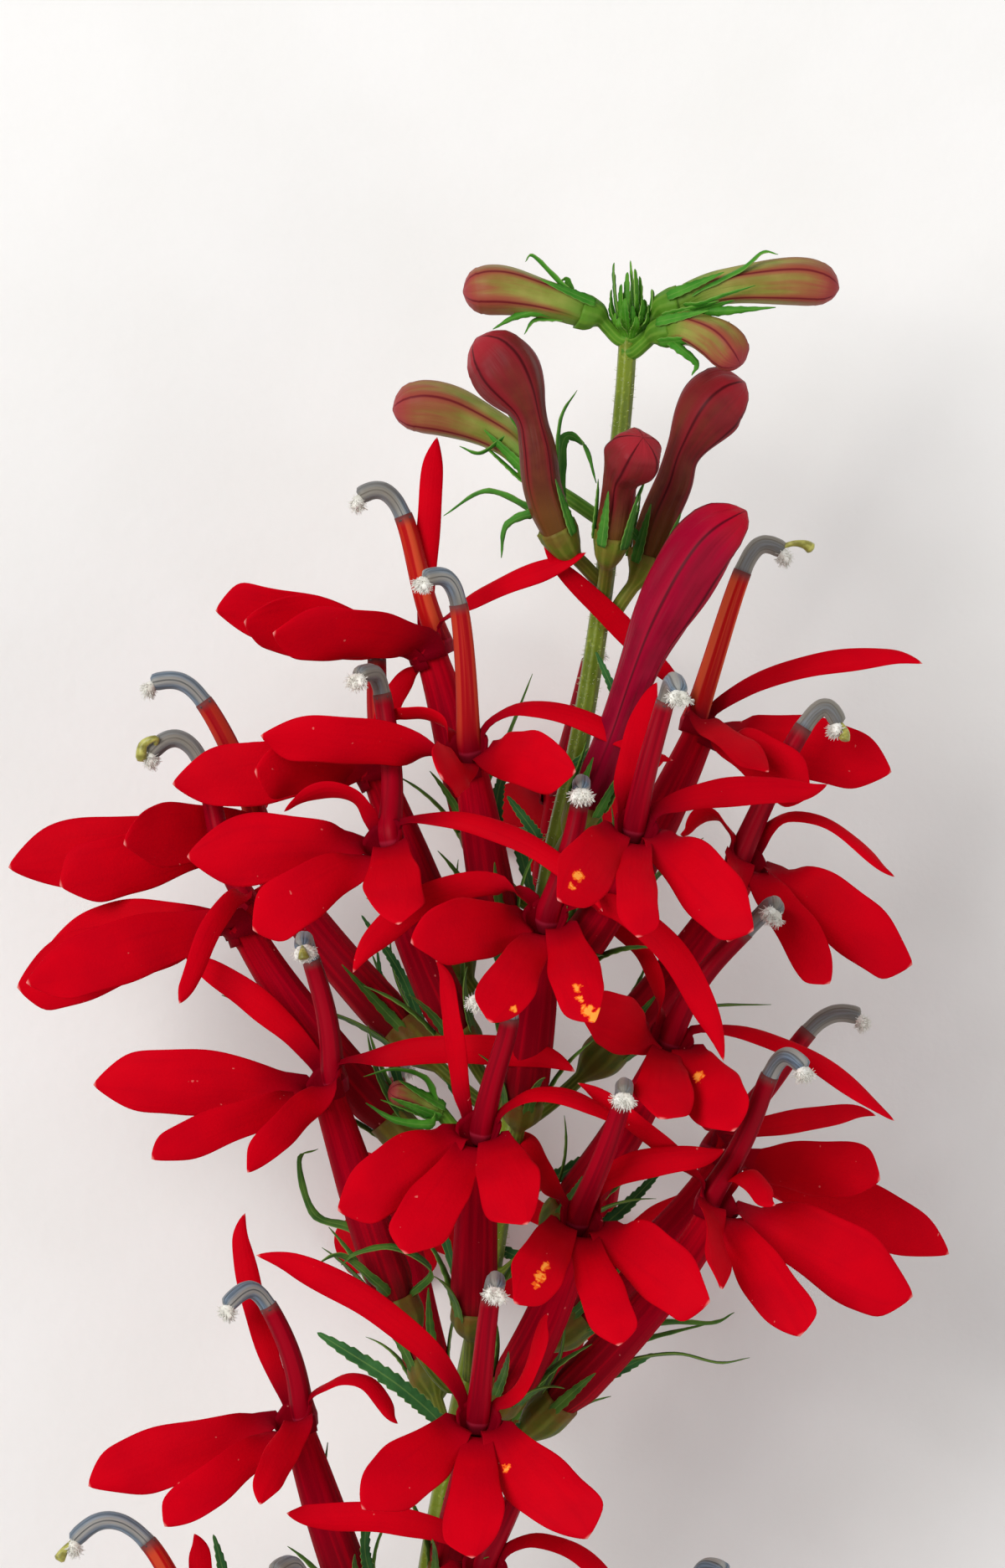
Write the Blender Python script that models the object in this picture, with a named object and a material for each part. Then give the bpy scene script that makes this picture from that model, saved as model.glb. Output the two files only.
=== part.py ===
"""A cut flowering stem of cardinal flower (Lobelia cardinalis) lying on a surface. Metres, +Z up.

The stem runs along Y with its growing tip at +Y. The surface is z = 0, and the origin lies under
the middle of the whole spike. Tables give places in millimetres and angles in degrees.
"""

import math
from collections import namedtuple

import bmesh
import bpy
from mathutils import Vector

MM = 0.001

# Edges that turn by less than this are drawn as one round face.
ROUND_ANGLE = 80

# The stem's middle line from cut end to tip, as (across, along, height).
STEM_LINE = ((-14, -146, 1.3), (-12.5, -122, 10), (-9, -92, 20), (-6, -66, 26.5), (-1, -40, 29),
             (3.5, -10, 30.5), (6.5, 4, 31.5), (8.5, 17, 33), (10, 31, 34.5), (10.5, 38, 35))
STEM_RADIUS_CUT = 1.35
STEM_RADIUS_TIP = 0.75
STEM_SIDES = 6
GROWING_TIP = (0, 5.5, 0.5)
SPIKE_MIDDLE = (-2, -51.5, 0)

# A flower, from its pedicel's foot on the stem to its lobes.
# Its middle line leaves the stem by a knee and comes to the throat along a neck.
SEAT_GAP = 0.3
PEDICEL_RADIUS = 0.6
KNEE_OUT, KNEE_UP = 5, 3
NECK_LENGTH = 8
NECK_OUT, NECK_UP = 0.4, 0.9
ROD_SIDES = 5
CUP_RADIUS = 2.2
CUP_FROM, CUP_TO = 0.24, 0.38
TUBE_FOOT_RADIUS = 1.7
TUBE_MIDDLE_RADIUS = 1.65
TUBE_THROAT_RADIUS = 1.35
TUBE_MIDDLE_STEP = 16
THROAT_DEPTH = 0.8
COLUMN_RADIUS = 1.0
COLUMN_SIDES = 4
ANTHER_RADIUS = 0.95
ANTHER_TIP_RADIUS = 0.6
LOBE_THICKNESS = 0.6
LIP_CLAW_WIDTH = 1.0
WING_CLAW_WIDTH = 0.8
CLAW_START = 0.7
# The lip's lobes arch up, but down on the flowers at the back, whose tips lie lower than this.
LIP_BEND_UP, LIP_ARCH = 1.5, 2.0
BACK_HEIGHT = 12
LIP_SHARES = (0, 0.4, 0.72, 1)
LIP_OUTLINE = (0.75, 1, 0)
WING_SHARES = (0, 0.55, 1)
WING_OUTLINE = (1, 0)
STEPS = 24
EVEN = [k / STEPS for k in range(STEPS + 1)]
SEPAL_LENGTH = 7.0
SEPAL_WIDTH = 1.1
SEPAL_FLARE = 25
SEPAL_SIDES = 3
SEPAL_SEAT, SEPAL_SINK = 0.85, 0.7
SEPALS = 5

PETAL_RED = (0.55, 0.0, 0.012)
CALYX_GREEN = (0.055, 0.2, 0.06)
STEM_GREEN = (0.16, 0.21, 0.015)
BUD_GREEN = (0.25, 0.22, 0.06)
BUD_RED = (0.24, 0.02, 0.03)

# throat: place of the tube's mouth. drop: how far down the stem its pedicel springs from.
# Each lobe and organ is given from the throat. lip: (tip, width, roll) of the three lower lobes.
# wings: (bend, tip, width, roll) of the two upper lobes. column: bend and top of the filament
# column. anthers: bend and end of the anther tube on it.
Flower = namedtuple("Flower", "throat drop lip wings column anthers")

FLOWERS = (
    Flower((-6.5, 12, 32), 22,
           lip=(((-17.5, 2.5, -3), 6, 30), ((-15, 1.5, 4), 6, 30), ((-12.5, 0.5, 10), 5.5, 30)),
           wings=(((0, 8.5, 1), (1, 17, -2), 2, 0), ((3.5, 4, 2), (13.5, 7, 6), 2, 35)),
           column=((-0.5, 5, 0), (-1.5, 10.5, 0)), anthers=((-3.5, 13, 0), (-5.5, 12, 0))),
    Flower((17, 5.5, 30), 20,
           lip=(((15.5, -4.5, 0), 5.5, 0), ((9, -6, 9), 5, 0), ((2.5, -5, 13), 4.5, 0)),
           wings=(((-4, 5, 3), (-14, 14, 7), 2, 0), ((5.5, 5.5, 0), (18, 5, 0), 2, 20)),
           column=((1, 6, 0), (3, 12.5, 0)), anthers=((4.5, 15, 0), (6.5, 14, 0))),
    Flower((-3, 3, 40), 20,
           lip=(((-17, 1, 3), 4.5, 20), ((-2, -2.5, 14), 5, 0), ((9, -2, 11), 5, 0)),
           wings=(((-2, 3.5, -1), (-6.5, 2.5, -4), 2, 60), ((4.5, 6.5, 0), (17, -1.5, 1), 2, 35)),
           column=((0, 6.5, 0), (-0.5, 12, 0)), anthers=((-1.5, 14.5, 1), (-3.5, 14, 2))),
    Flower((-11, 2, 32), 22,
           lip=(((-16.5, -2, 2), 5.5, 0), ((-9.5, -1, 10), 5, 0), ((-14.5, -1.5, -8), 5, 0)),
           wings=(((0, 3.5, 0), (4, 8, -1), 2, 0), ((0.5, 3, -6), (0.5, 4, -13), 2, 0)),
           column=((0.5, 4, -1), (0.5, 8.5, -2)), anthers=((0.5, 10.5, -2), (-1.5, 10, -2))),
    Flower((5, 0, 14), 20,
           lip=(((-8, -5, -14), 5.5, 0), ((-0.5, -8.5, -12), 5, 0), ((8.5, -5, -14), 5.5, 0)),
           wings=(((-5, 2.5, -2), (-8, 1, -8), 2, 0), ((4.5, 2.5, -2), (9, 2, -8), 2, 0)),
           column=((1.5, 6, -1), (2.5, 10.5, -2)), anthers=((3, 12.5, -4), (3, 11.5, -7))),
    Flower((-21.5, -3.5, 24), 24,
           lip=(((-20, -3.5, 0), 6, 0), ((-15.5, -5, 6), 5.5, 0), ((-10, -1.5, 12), 5.5, 0)),
           wings=(((0.5, 3, -2), (2.5, 6, -6), 2, 30), ((0.5, 2, -6), (1.5, 3, -14), 2, 0)),
           column=((-1, 6, 0), (-3.5, 10.5, 0)), anthers=((-5.5, 12.5, 0), (-8, 12, 0))),
    Flower((11, -3.5, 48), 14,
           lip=(((-6.5, -6, 12), 5, 0), ((0, -9, 13), 4, 0), ((9.5, -8.5, 9), 5.5, 0)),
           wings=(((-1, 5, -1), (1.5, 12, -6), 2, 0), ((5, 3.5, -3), (16, 3, -8), 2.5, 0)),
           column=((1, 5.5, 1), (2.5, 10.5, 1)), anthers=((3, 12.5, 3), (3.5, 11, 7))),
    Flower((-10, -4.5, 43), 22,
           lip=(((-16, -1.5, 3), 6, 0), ((-10.5, -7.5, 8), 5, 0), ((1.5, -7, 12), 5, 0)),
           wings=(((-2.5, 6, 0), (-8, 2.5, -1), 2, 50), ((9.5, 3.5, 3), (18.5, -5.5, 6), 2, 20)),
           column=((1, 5.5, -5), (0, 12, -6)), anthers=((-0.5, 14, -5), (-2, 13.5, -3))),
    Flower((20.5, -6, 36), 22,
           lip=(((13.5, -9, 3), 5.5, 0), ((6.5, -10.5, 9), 4, 0), ((-2, -7, 12), 4, 60)),
           wings=(((-3, 5.5, -1), (-5.5, 1.5, -2), 2, 60), ((3.5, 7.5, 0), (12, -2, 0), 2, 60)),
           column=((1.5, 5, -1), (4.5, 11, -1)), anthers=((6.5, 13, -1), (7.5, 11, -1))),
    Flower((3.5, -11, 45), 21,
           lip=(((-11, -2, 10), 5.5, 0), ((-4.5, -8.5, 12), 4.5, 0), ((4, -8.5, 12), 4.5, 0)),
           wings=(((-7.5, 6, 0), (-16, -4, 2), 2.5, 0), ((9, 3.5, 6), (15, -11.5, 3), 2.5, 0)),
           column=((2, 5, 0), (3, 9.5, 0)), anthers=((3, 11.5, 1), (3, 10.5, 4))),
    Flower((-22, -11, 31), 24,
           lip=(((-16, -2.5, -6), 5.5, 0), ((-18.5, -6, 1), 6, 0), ((-17.5, -5.5, 8), 5.5, 0)),
           wings=(((-1, 4, 6), (-4.5, -7.5, 9), 2, 20), ((3.5, 2, -1), (8, 5, -4), 2, 0)),
           column=((-2, 6, 0), (-2.5, 13, -1)), anthers=((-5.5, 15.5, -1), (-7.5, 13.5, -1))),
    Flower((14, -21, 40), 20,
           lip=(((-7.5, 2, 11), 5, 0), ((-1, -6.5, 13), 5, 0), ((5, -7.5, 12), 5.5, 0)),
           wings=(((-0.5, 6.5, -1), (-5.5, 9.5, -3), 2, 50), ((8.5, 2, 0), (18.5, -7, -1), 2, 40)),
           column=((2.5, 5.5, 1), (6.5, 9, 1)), anthers=((8.5, 11.5, 3), (8.5, 10.5, 6))),
    Flower((-15, -24.5, 36), 26,
           lip=(((-19, -0.5, 1), 6, 0), ((-14, -6.5, 8), 5, 0), ((-6, -7.5, 12), 4, 0)),
           wings=(((-3, 5.5, 0), (-12, 10.5, -2), 2.5, 0), ((11.5, 4, 3), (21, 1, 6), 2.5, 0)),
           column=((0.5, 5.5, 0), (-1, 10, 0)), anthers=((-1.5, 12, 2), (-1.5, 11, 6))),
    Flower((-2, -28.5, 45), 21,
           lip=(((-11.5, -6.5, 8), 5.5, 0), ((-6, -10, 9), 5, 0), ((4, -7.5, 12), 5.5, 0)),
           wings=(((-2, 6.5, 0), (-3, 14, 0), 2, 30), ((5, 5.5, 0), (12.5, 0, -1), 2, 50)),
           column=((1.5, 5.5, 1), (3, 9.5, 2)), anthers=((2, 12, 3), (0, 11, 5))),
    Flower((19, -30.5, 25), 20,
           lip=(((18.5, -9, -1), 5, 0), ((12.5, -2.5, 8), 5, 0), ((10, -5, -10), 5, 0)),
           wings=(((5, 2, -3), (12.5, 3, -9), 2, 0), ((-2, 3, -6), (-3.5, 5.5, -12), 2, 0)),
           column=((3.5, 5, 0), (6.5, 10, 0)), anthers=((9, 11.5, 0), (11, 11, 0))),
    Flower((18, -34.5, 39), 24,
           lip=(((0, -7, 12), 3.4, 60), ((6.5, -11, 9), 4.5, 0), ((16, -8, 1), 6, 0)),
           wings=(((-4.5, 4.5, 4), (-11.5, 10, 3), 2, 30), ((2, 4, 2), (4, -0.5, 8), 2, 40)),
           column=((2.5, 5.5, 1), (4, 10.5, 2)), anthers=((5.5, 12.5, 3), (7, 11, 4))),
    Flower((-9, -35, 12), 20,
           lip=(((-4, -7, -12), 5.5, 0), ((1.5, -8, -11), 5, 0), ((7.5, -4.5, -12), 5.5, 0)),
           wings=(((-2, 2.5, -2), (-3, 3.5, -8), 2, 0), ((3.5, 3, -2), (8.5, 3, -8), 2, 0)),
           column=((0, 5.5, -1), (0, 10, -2)), anthers=((0, 11.5, -4), (0.5, 11, -7))),
    Flower((6.5, -36, 44), 20,
           lip=(((-5.5, -6.5, 12), 4.5, 0), ((3, -10, 11), 4.5, 0), ((10.5, -6.5, 9), 5.5, 0)),
           wings=(((-3.5, 4, -4), (-5, 7, -12), 2, 0), ((-0.5, 4.5, -1), (12, 5.5, -2), 2.5, 0)),
           column=((2, 5.5, 2), (3.5, 10, 3)), anthers=((3.5, 11.5, 5), (3.5, 10.5, 8))),
    Flower((8, -40, 13), 20,
           lip=(((-8, -3.5, -12), 5.5, 0), ((0, -8, -13), 5, 0), ((8, -3.5, -13), 5.5, 0)),
           wings=(((-4.5, 3.5, -2), (-8, 5, -8), 2, 0), ((4.5, 3.5, -2), (9.5, 5, -8), 2, 0)),
           column=((1, 5.5, -1), (2, 10.5, -2)), anthers=((2, 12, -4), (2, 11, -7))),
    Flower((-17.5, -52.5, 33), 22,
           lip=(((-17, -6, 1), 5.4, 0), ((-10.5, -9, 8), 4.2, 0), ((-2.5, -7, 12), 2.8, 0)),
           wings=(((-3.5, 7, -2), (-4.5, 16.5, -3), 2, 0), ((6, 6, 2), (8.5, -1, 4), 2, 50)),
           column=((0, 5, 0), (-2, 9, 0)), anthers=((-3.5, 11, 1), (-5.5, 9, 2))),
    Flower((-2, -52.5, 43), 18,
           lip=(((-9.5, -7, 9), 5.5, 0), ((-0.5, -11, 10), 5, 0), ((9, -9.5, 8), 6, 0)),
           wings=(((-3.5, 8, 0), (-18, 14, 0), 2.5, 0), ((4.5, 2, 0), (5.5, 9, 1), 2, 50)),
           column=((0.5, 5.5, 1), (1, 10.5, 2)), anthers=((1.5, 12, 4), (1.5, 11, 8))),
    Flower((-1.5, -65, 40), 20,
           lip=(((-9.5, -7, 9), 5.5, 0), ((-1, -11, 10), 5, 0), ((8.5, -9, 9), 5.5, 0)),
           wings=(((-3.5, 5, 0), (-16.5, 4, 0), 2.5, 0), ((5, 5, 0), (12, -2.5, 0), 2, 40)),
           column=((2, 4.5, -1), (3.5, 8, -2)), anthers=((4, 10, -2), (4.5, 9, 1))),
    Flower((-25.5, -73.5, 27), 22,
           lip=(((-16, -3.5, 2), 5.5, 0), ((-13, -5.5, 8), 5, 0), ((-8, -6.5, 12), 5, 0)),
           wings=(((0.5, 5, -1), (0, 10.5, -3), 2, 0), ((4.5, 2, -4), (9, 3, -9), 2, 0)),
           column=((-1.5, 5, 0), (-4, 10.5, 0)), anthers=((-8, 12.5, 0), (-10.5, 10, 0))),
    Flower((14, -76.5, 32), 20,
           lip=(((-2, -9, 12), 5, 0), ((7, -9, 10), 5, 0), ((13, -5, 6), 5.5, 0)),
           wings=(((-3, 4, -1), (-7.5, 7.5, -5), 2, 0), ((5, 3, 0), (14, 3, -2), 2, 0)),
           column=((1, 5, 0), (2, 10, 0)), anthers=((3, 11.5, 1), (4.5, 11, 3))),
    Flower((-14, -77, 34), 20,
           lip=(((-12.5, -5.5, 7), 5.5, 0), ((-7.5, -8.5, 10), 5, 0), ((0.5, -10, 12), 5, 0)),
           wings=(((-4, 5, 0), (-12.5, 7, -2), 2, 0), ((3, 5, -2), (7.5, 7.5, -8), 2, 0)),
           column=((-1, 5.5, 0), (-2.5, 10.5, 0)), anthers=((-3.5, 12.5, 1), (-5, 11.5, 3))),
)

# A bud's middle line: its knee, and the steps at which its pedicel ends, its cup opens and closes,
# its neck is thinnest and its head widest. A waist is a share of the head.
BUD_KNEE_OUT, BUD_KNEE_UP = 3, 1
BUD_STEPS = (0, 5, 7, 10, 13, 19, STEPS)
BUD_CUP_RADIUS = 1.9
BUD_TUBE_RADIUS = 1.7
BUD_WAIST = 0.55
BUD_SEPAL_STEP = 9
BUD_SEPAL_SEAT = 1.2
BUD_SEPAL_LENGTH = 4.2

# Buds: where each springs from along the stem, its bend and tip, and its widest radius.
Bud = namedtuple("Bud", "root bend tip head_radius finish")

BUDS = (
    Bud(36.5, (4, 40.5, 35), (-3.5, 41, 36), 2.1, "bud green"),
    Bud(36, (19, 38.5, 36), (28, 41.5, 35), 2.1, "bud green"),
    Bud(34, (15, 36, 39), (20, 35, 42), 1.8, "bud green"),
    Bud(17, (3, 29, 41), (-2, 37, 39), 2.9, "bud red"),
    Bud(22, (0, 29, 29), (-9, 31, 29), 2.2, "bud green"),
    Bud(16, (9.5, 22, 41), (11.5, 30, 45), 2.1, "bud green"),
    Bud(13.5, (13.5, 20, 34), (20.5, 33.5, 36), 2.6, "bud red"),
    Bud(-6, (11, 12, 41), (20, 22, 42), 3.2, "bud red"),
)


def finish(name, colour, roughness):
    """A living surface: one even colour, soft shine."""
    material = bpy.data.materials.new(name)
    material.use_nodes = True
    shader = material.node_tree.nodes["Principled BSDF"]
    shader.inputs["Base Color"].default_value = (*colour, 1)
    shader.inputs["Roughness"].default_value = roughness
    shader.inputs["Metallic"].default_value = 0
    return material


def curve(points, shares):
    """Places at the given shares of the Bezier curve that the points steer."""
    order = len(points) - 1
    weights = [math.comb(order, k) for k in range(order + 1)]
    line = []
    for t in shares:
        parts = (Vector(p) * w * t**k * (1 - t) ** (order - k)
                 for k, (p, w) in enumerate(zip(points, weights)))
        line.append(sum(parts, Vector()))
    return line


def directions(line):
    """The way the line runs at each of its points."""
    ends = [line[0]] + line + [line[-1]]
    return [(after - before).normalized() for before, after in zip(ends, ends[2:])]


def on_stem(along):
    """The stem's middle line and radius at a distance along Y."""
    for low, high in zip(STEM_LINE, STEM_LINE[1:]):
        if along <= high[1]:
            break
    middle = Vector(low).lerp(Vector(high), (along - low[1]) / (high[1] - low[1]))
    share = (along - STEM_LINE[0][1]) / (STEM_LINE[-1][1] - STEM_LINE[0][1])
    return middle, STEM_RADIUS_CUT + share * (STEM_RADIUS_TIP - STEM_RADIUS_CUT)


def loft(name, rings, material):
    """One closed skin over rings of points, from foot to tip. A ring of one point is a tip. The
    object's origin is the middle of its first ring."""
    shape = bmesh.new()
    origin = sum(rings[0], Vector()) / len(rings[0])
    loops = [[shape.verts.new((point - origin) * MM) for point in ring] for ring in rings]
    for lower, upper in zip(loops, loops[1:]):
        for k in range(max(len(lower), len(upper))):
            corners = (lower[k % len(lower)], lower[(k + 1) % len(lower)],
                       upper[(k + 1) % len(upper)], upper[k % len(upper)])
            shape.faces.new(tuple(dict.fromkeys(corners)))
    for end in (loops[0], loops[-1]):
        if len(end) > 1:
            shape.faces.new(end)
    bmesh.ops.recalc_face_normals(shape, faces=shape.faces)
    mesh = bpy.data.meshes.new(name)
    shape.to_mesh(mesh)
    shape.free()
    mesh.shade_smooth()
    mesh.set_sharp_from_angle(angle=math.radians(ROUND_ANGLE))
    mesh.materials.append(material)
    obj = bpy.data.objects.new(name, mesh)
    obj.location = origin * MM
    return obj


def round_rings(line, radii, sides):
    """Rings of a round rod along the line, each square to it, without twist. Radius 0 is a tip."""
    rings = []
    side = Vector((0, 0, 1)).cross(directions(line)[0])
    if side.length < 0.2:
        side = Vector((1, 0, 0))
    for middle, way, radius in zip(line, directions(line), radii):
        side = (side - way * side.dot(way)).normalized()
        other = way.cross(side)
        turns = [2 * math.pi * (k + 0.5) / sides for k in range(sides)]
        ring = [middle + radius * (side * math.cos(a) + other * math.sin(a)) for a in turns]
        rings.append(ring if radius else [middle])
    return rings


def blade_rings(line, widths, roll):
    """Rings of a thin lobe along the line: two sharp edges and a face that looks up at +Z."""
    rings = []
    for middle, way, width in zip(line, directions(line), widths):
        side = way.cross(Vector((0, 0, 1))).normalized()
        up = side.cross(way)
        angle = math.radians(roll)
        side, up = (side * math.cos(angle) + up * math.sin(angle),
                    up * math.cos(angle) - side * math.sin(angle))
        across, through = side * width / 2, up * LOBE_THICKNESS / 2
        ring = [middle + across, middle + through, middle - across, middle - through]
        rings.append(ring if width else [middle])
    return rings


def helper(obj, group):
    """Keeps a shape that a Boolean joins on out of the spike itself."""
    group.objects.link(obj)
    obj.hide_render = True
    obj.display_type = "WIRE"


def joined(obj, group):
    """The object as one body with everything in the group."""
    bpy.context.scene.collection.objects.link(obj)
    bpy.context.scene.collection.children.link(group)
    union = obj.modifiers.new("grown together", "BOOLEAN")
    union.operation = "UNION"
    union.operand_type = "COLLECTION"
    union.collection = group
    return obj


def flower_line(flower):
    """The middle line from the pedicel's foot on the stem to the throat, and the way it leaves."""
    throat = Vector(flower.throat)
    middle, radius = on_stem(throat.y - flower.drop)
    out = throat - middle
    out.y = 0
    out.normalize()
    foot = middle + out * (radius + SEAT_GAP + PEDICEL_RADIUS / 2)
    knee = foot + out * KNEE_OUT + Vector((0, KNEE_UP, 0))
    neck = throat - (out * NECK_OUT + Vector((0, NECK_UP, 0))).normalized() * NECK_LENGTH
    return curve((foot, knee, neck, throat), EVEN)


def calyx(name, line, material):
    """Pedicel, green cup and five pointed sepals, grown in one."""
    first, last = round(CUP_FROM * STEPS), round(CUP_TO * STEPS)
    picks = (0, first - 1, first + 1, last)
    radii = (PEDICEL_RADIUS, PEDICEL_RADIUS, CUP_RADIUS, CUP_RADIUS)
    cup = loft(name, round_rings([line[k] for k in picks], radii, ROD_SIDES), material)
    group = bpy.data.collections.new(name + " sepals")
    way = (line[last + 1] - line[last]).normalized()
    side = way.orthogonal().normalized()
    flare = math.radians(SEPAL_FLARE)
    for k in range(SEPALS):
        turn = 2 * math.pi * k / SEPALS
        outward = side * math.cos(turn) + way.cross(side) * math.sin(turn)
        foot = line[last] + outward * CUP_RADIUS * SEPAL_SEAT - way * SEPAL_SINK
        tip = foot + (way * math.cos(flare) + outward * math.sin(flare)) * SEPAL_LENGTH
        sepal = round_rings([foot, tip], (SEPAL_WIDTH / 2, 0), SEPAL_SIDES)
        helper(loft(f"{name} sepal {k}", sepal, material), group)
    return joined(cup, group)


def corolla(name, flower, line, material):
    """Red tube, three lip lobes, two wings, and the column with its anther tube, grown in one."""
    throat = Vector(flower.throat)
    first = round(CUP_TO * STEPS) + 1
    rise = (line[-1] - line[-2]).normalized()
    picks = [line[k] for k in (first, TUBE_MIDDLE_STEP, STEPS)]
    picks[0] = picks[0].lerp(line[first - 1], 0.6)
    radii = (TUBE_FOOT_RADIUS, TUBE_MIDDLE_RADIUS, TUBE_THROAT_RADIUS)
    tube = loft(name, round_rings(picks, radii, ROD_SIDES), material)
    group = bpy.data.collections.new(name + " lobes")
    start = throat - rise * THROAT_DEPTH
    for k, (tip, width, roll) in enumerate(flower.lip):
        tip = throat + Vector(tip)
        arch = LIP_ARCH if tip.z > BACK_HEIGHT else -LIP_ARCH
        bend = throat.lerp(tip, 0.5) + Vector((0, LIP_BEND_UP, arch))
        lobe = curve((start + (bend - start).normalized() * CLAW_START, bend, tip), LIP_SHARES)
        widths = [LIP_CLAW_WIDTH] + [width * share for share in LIP_OUTLINE]
        helper(loft(f"{name} lip {k}", blade_rings(lobe, widths, roll), material), group)
    for k, (bend, tip, width, roll) in enumerate(flower.wings):
        bend, tip = throat + Vector(bend), throat + Vector(tip)
        lobe = curve((start + (bend - start).normalized() * CLAW_START, bend, tip), WING_SHARES)
        widths = [WING_CLAW_WIDTH] + [width * share for share in WING_OUTLINE]
        helper(loft(f"{name} wing {k}", blade_rings(lobe, widths, roll), material), group)
    bend, top = (throat + Vector(p) for p in flower.column)
    over, end = (throat + Vector(p) for p in flower.anthers)
    rod = [start, bend, top, over, end]
    radii = (COLUMN_RADIUS, COLUMN_RADIUS, COLUMN_RADIUS, ANTHER_RADIUS, ANTHER_TIP_RADIUS)
    helper(loft(f"{name} column", round_rings(rod, radii, COLUMN_SIDES), material), group)
    return joined(tube, group)


def bud(name, shape, material):
    """A closed bud: pedicel, cup, narrow neck and club head, with five sepals round the cup."""
    middle, radius = on_stem(shape.root)
    out = Vector(shape.bend) - middle
    out.y = 0
    out.normalize()
    foot = middle + out * (radius + SEAT_GAP + PEDICEL_RADIUS / 2)
    knee = foot + out * BUD_KNEE_OUT + Vector((0, BUD_KNEE_UP, 0))
    line = curve((foot, knee, shape.bend, shape.tip), EVEN)
    head = shape.head_radius
    radii = (PEDICEL_RADIUS, PEDICEL_RADIUS, BUD_CUP_RADIUS, BUD_TUBE_RADIUS, BUD_WAIST * head, head, 0)
    body = loft(name, round_rings([line[k] for k in BUD_STEPS], radii, ROD_SIDES), material)
    group = bpy.data.collections.new(name + " sepals")
    way = (line[BUD_SEPAL_STEP + 1] - line[BUD_SEPAL_STEP]).normalized()
    side = way.orthogonal().normalized()
    for k in range(SEPALS):
        turn = 2 * math.pi * k / SEPALS
        outward = side * math.cos(turn) + way.cross(side) * math.sin(turn)
        root = line[BUD_SEPAL_STEP] + outward * BUD_SEPAL_SEAT
        tip = root + (way + outward).normalized() * BUD_SEPAL_LENGTH
        sepal = round_rings([root, tip], (SEPAL_WIDTH / 2, 0), SEPAL_SIDES)
        helper(loft(f"{name} sepal {k}", sepal, material), group)
    return joined(body, group)


def stem(material):
    """The stem from its flat cut end to the growing tip."""
    line = [Vector(point) for point in STEM_LINE]
    radii = [on_stem(point.y)[1] for point in line]
    line.append(line[-1] + Vector(GROWING_TIP))
    radii.append(0)
    shoot = loft("stem", round_rings(line, radii, STEM_SIDES), material)
    bpy.context.scene.collection.objects.link(shoot)


def carried(pieces):
    """Hangs the pieces on one empty, which brings the middle of the spike over the origin."""
    spike = bpy.data.objects.new("spike", None)
    spike.location = -Vector(SPIKE_MIDDLE) * MM
    bpy.context.scene.collection.objects.link(spike)
    for obj in pieces:
        obj.parent = spike


def main():
    for obj in list(bpy.data.objects):
        bpy.data.objects.remove(obj)
    petals = finish("petal red", PETAL_RED, 0.5)
    green = finish("calyx green", CALYX_GREEN, 0.55)
    buds = {"bud green": finish("bud green", BUD_GREEN, 0.55),
            "bud red": finish("bud red", BUD_RED, 0.5)}
    stem(finish("stem green", STEM_GREEN, 0.55))
    for number, flower in enumerate(FLOWERS, 1):
        line = flower_line(flower)
        calyx(f"calyx_{number:02d}", line, green)
        corolla(f"flower_{number:02d}", flower, line, petals)
    for number, shape in enumerate(BUDS, 1):
        bud(f"bud_{number}", shape, buds[shape.finish])
    carried(list(bpy.data.objects))


main()
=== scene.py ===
import math

import bpy
import numpy as np
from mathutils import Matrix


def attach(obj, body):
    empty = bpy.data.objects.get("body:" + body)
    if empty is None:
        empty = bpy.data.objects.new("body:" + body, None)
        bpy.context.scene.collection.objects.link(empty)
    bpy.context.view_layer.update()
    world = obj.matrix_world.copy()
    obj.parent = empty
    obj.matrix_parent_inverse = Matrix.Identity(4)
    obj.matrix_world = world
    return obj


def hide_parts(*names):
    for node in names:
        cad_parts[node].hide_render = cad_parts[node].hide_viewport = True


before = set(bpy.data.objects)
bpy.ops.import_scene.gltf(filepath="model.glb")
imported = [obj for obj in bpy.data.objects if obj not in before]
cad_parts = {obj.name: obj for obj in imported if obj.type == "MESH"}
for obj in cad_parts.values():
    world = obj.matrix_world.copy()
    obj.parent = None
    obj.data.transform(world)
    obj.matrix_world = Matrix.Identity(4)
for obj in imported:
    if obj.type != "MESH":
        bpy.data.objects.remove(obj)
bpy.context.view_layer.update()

# ---- Flowering stem ----
# One solid green shoot of living tissue, drawn thinner towards its growing tip, faintly ribbed
# and downy. It was cut across with a blade at the foot, and everything else grows out of it.

# Sizes and places are in mm, and MIDDLE is the place that comes to lie at the world's origin.
MM = 0.001
MIDDLE = np.array((-2.0, -51.5, 0.0))
STEM_LINE = np.array(((-14, -146, 1.3), (-12.5, -122, 10), (-9, -92, 20), (-6, -66, 26.5), (-1, -40, 29),
                      (3.5, -10, 30.5), (6.5, 4, 31.5), (8.5, 17, 33), (10, 31, 34.5), (10.5, 38, 35)))
STEM_RADIUS_CUT, STEM_RADIUS_TIP = 1.35, 0.75
# How many ribs it has, and how far they rise as a share of its radius.
STEM_RIBS, STEM_RIB_RISE = 8, 0.035
STEM_RINGS, STEM_SIDES = 150, 32


def unit(vectors):
    """The vectors, each divided by its length."""
    return vectors / np.linalg.norm(vectors, axis=-1, keepdims=True)


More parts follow.
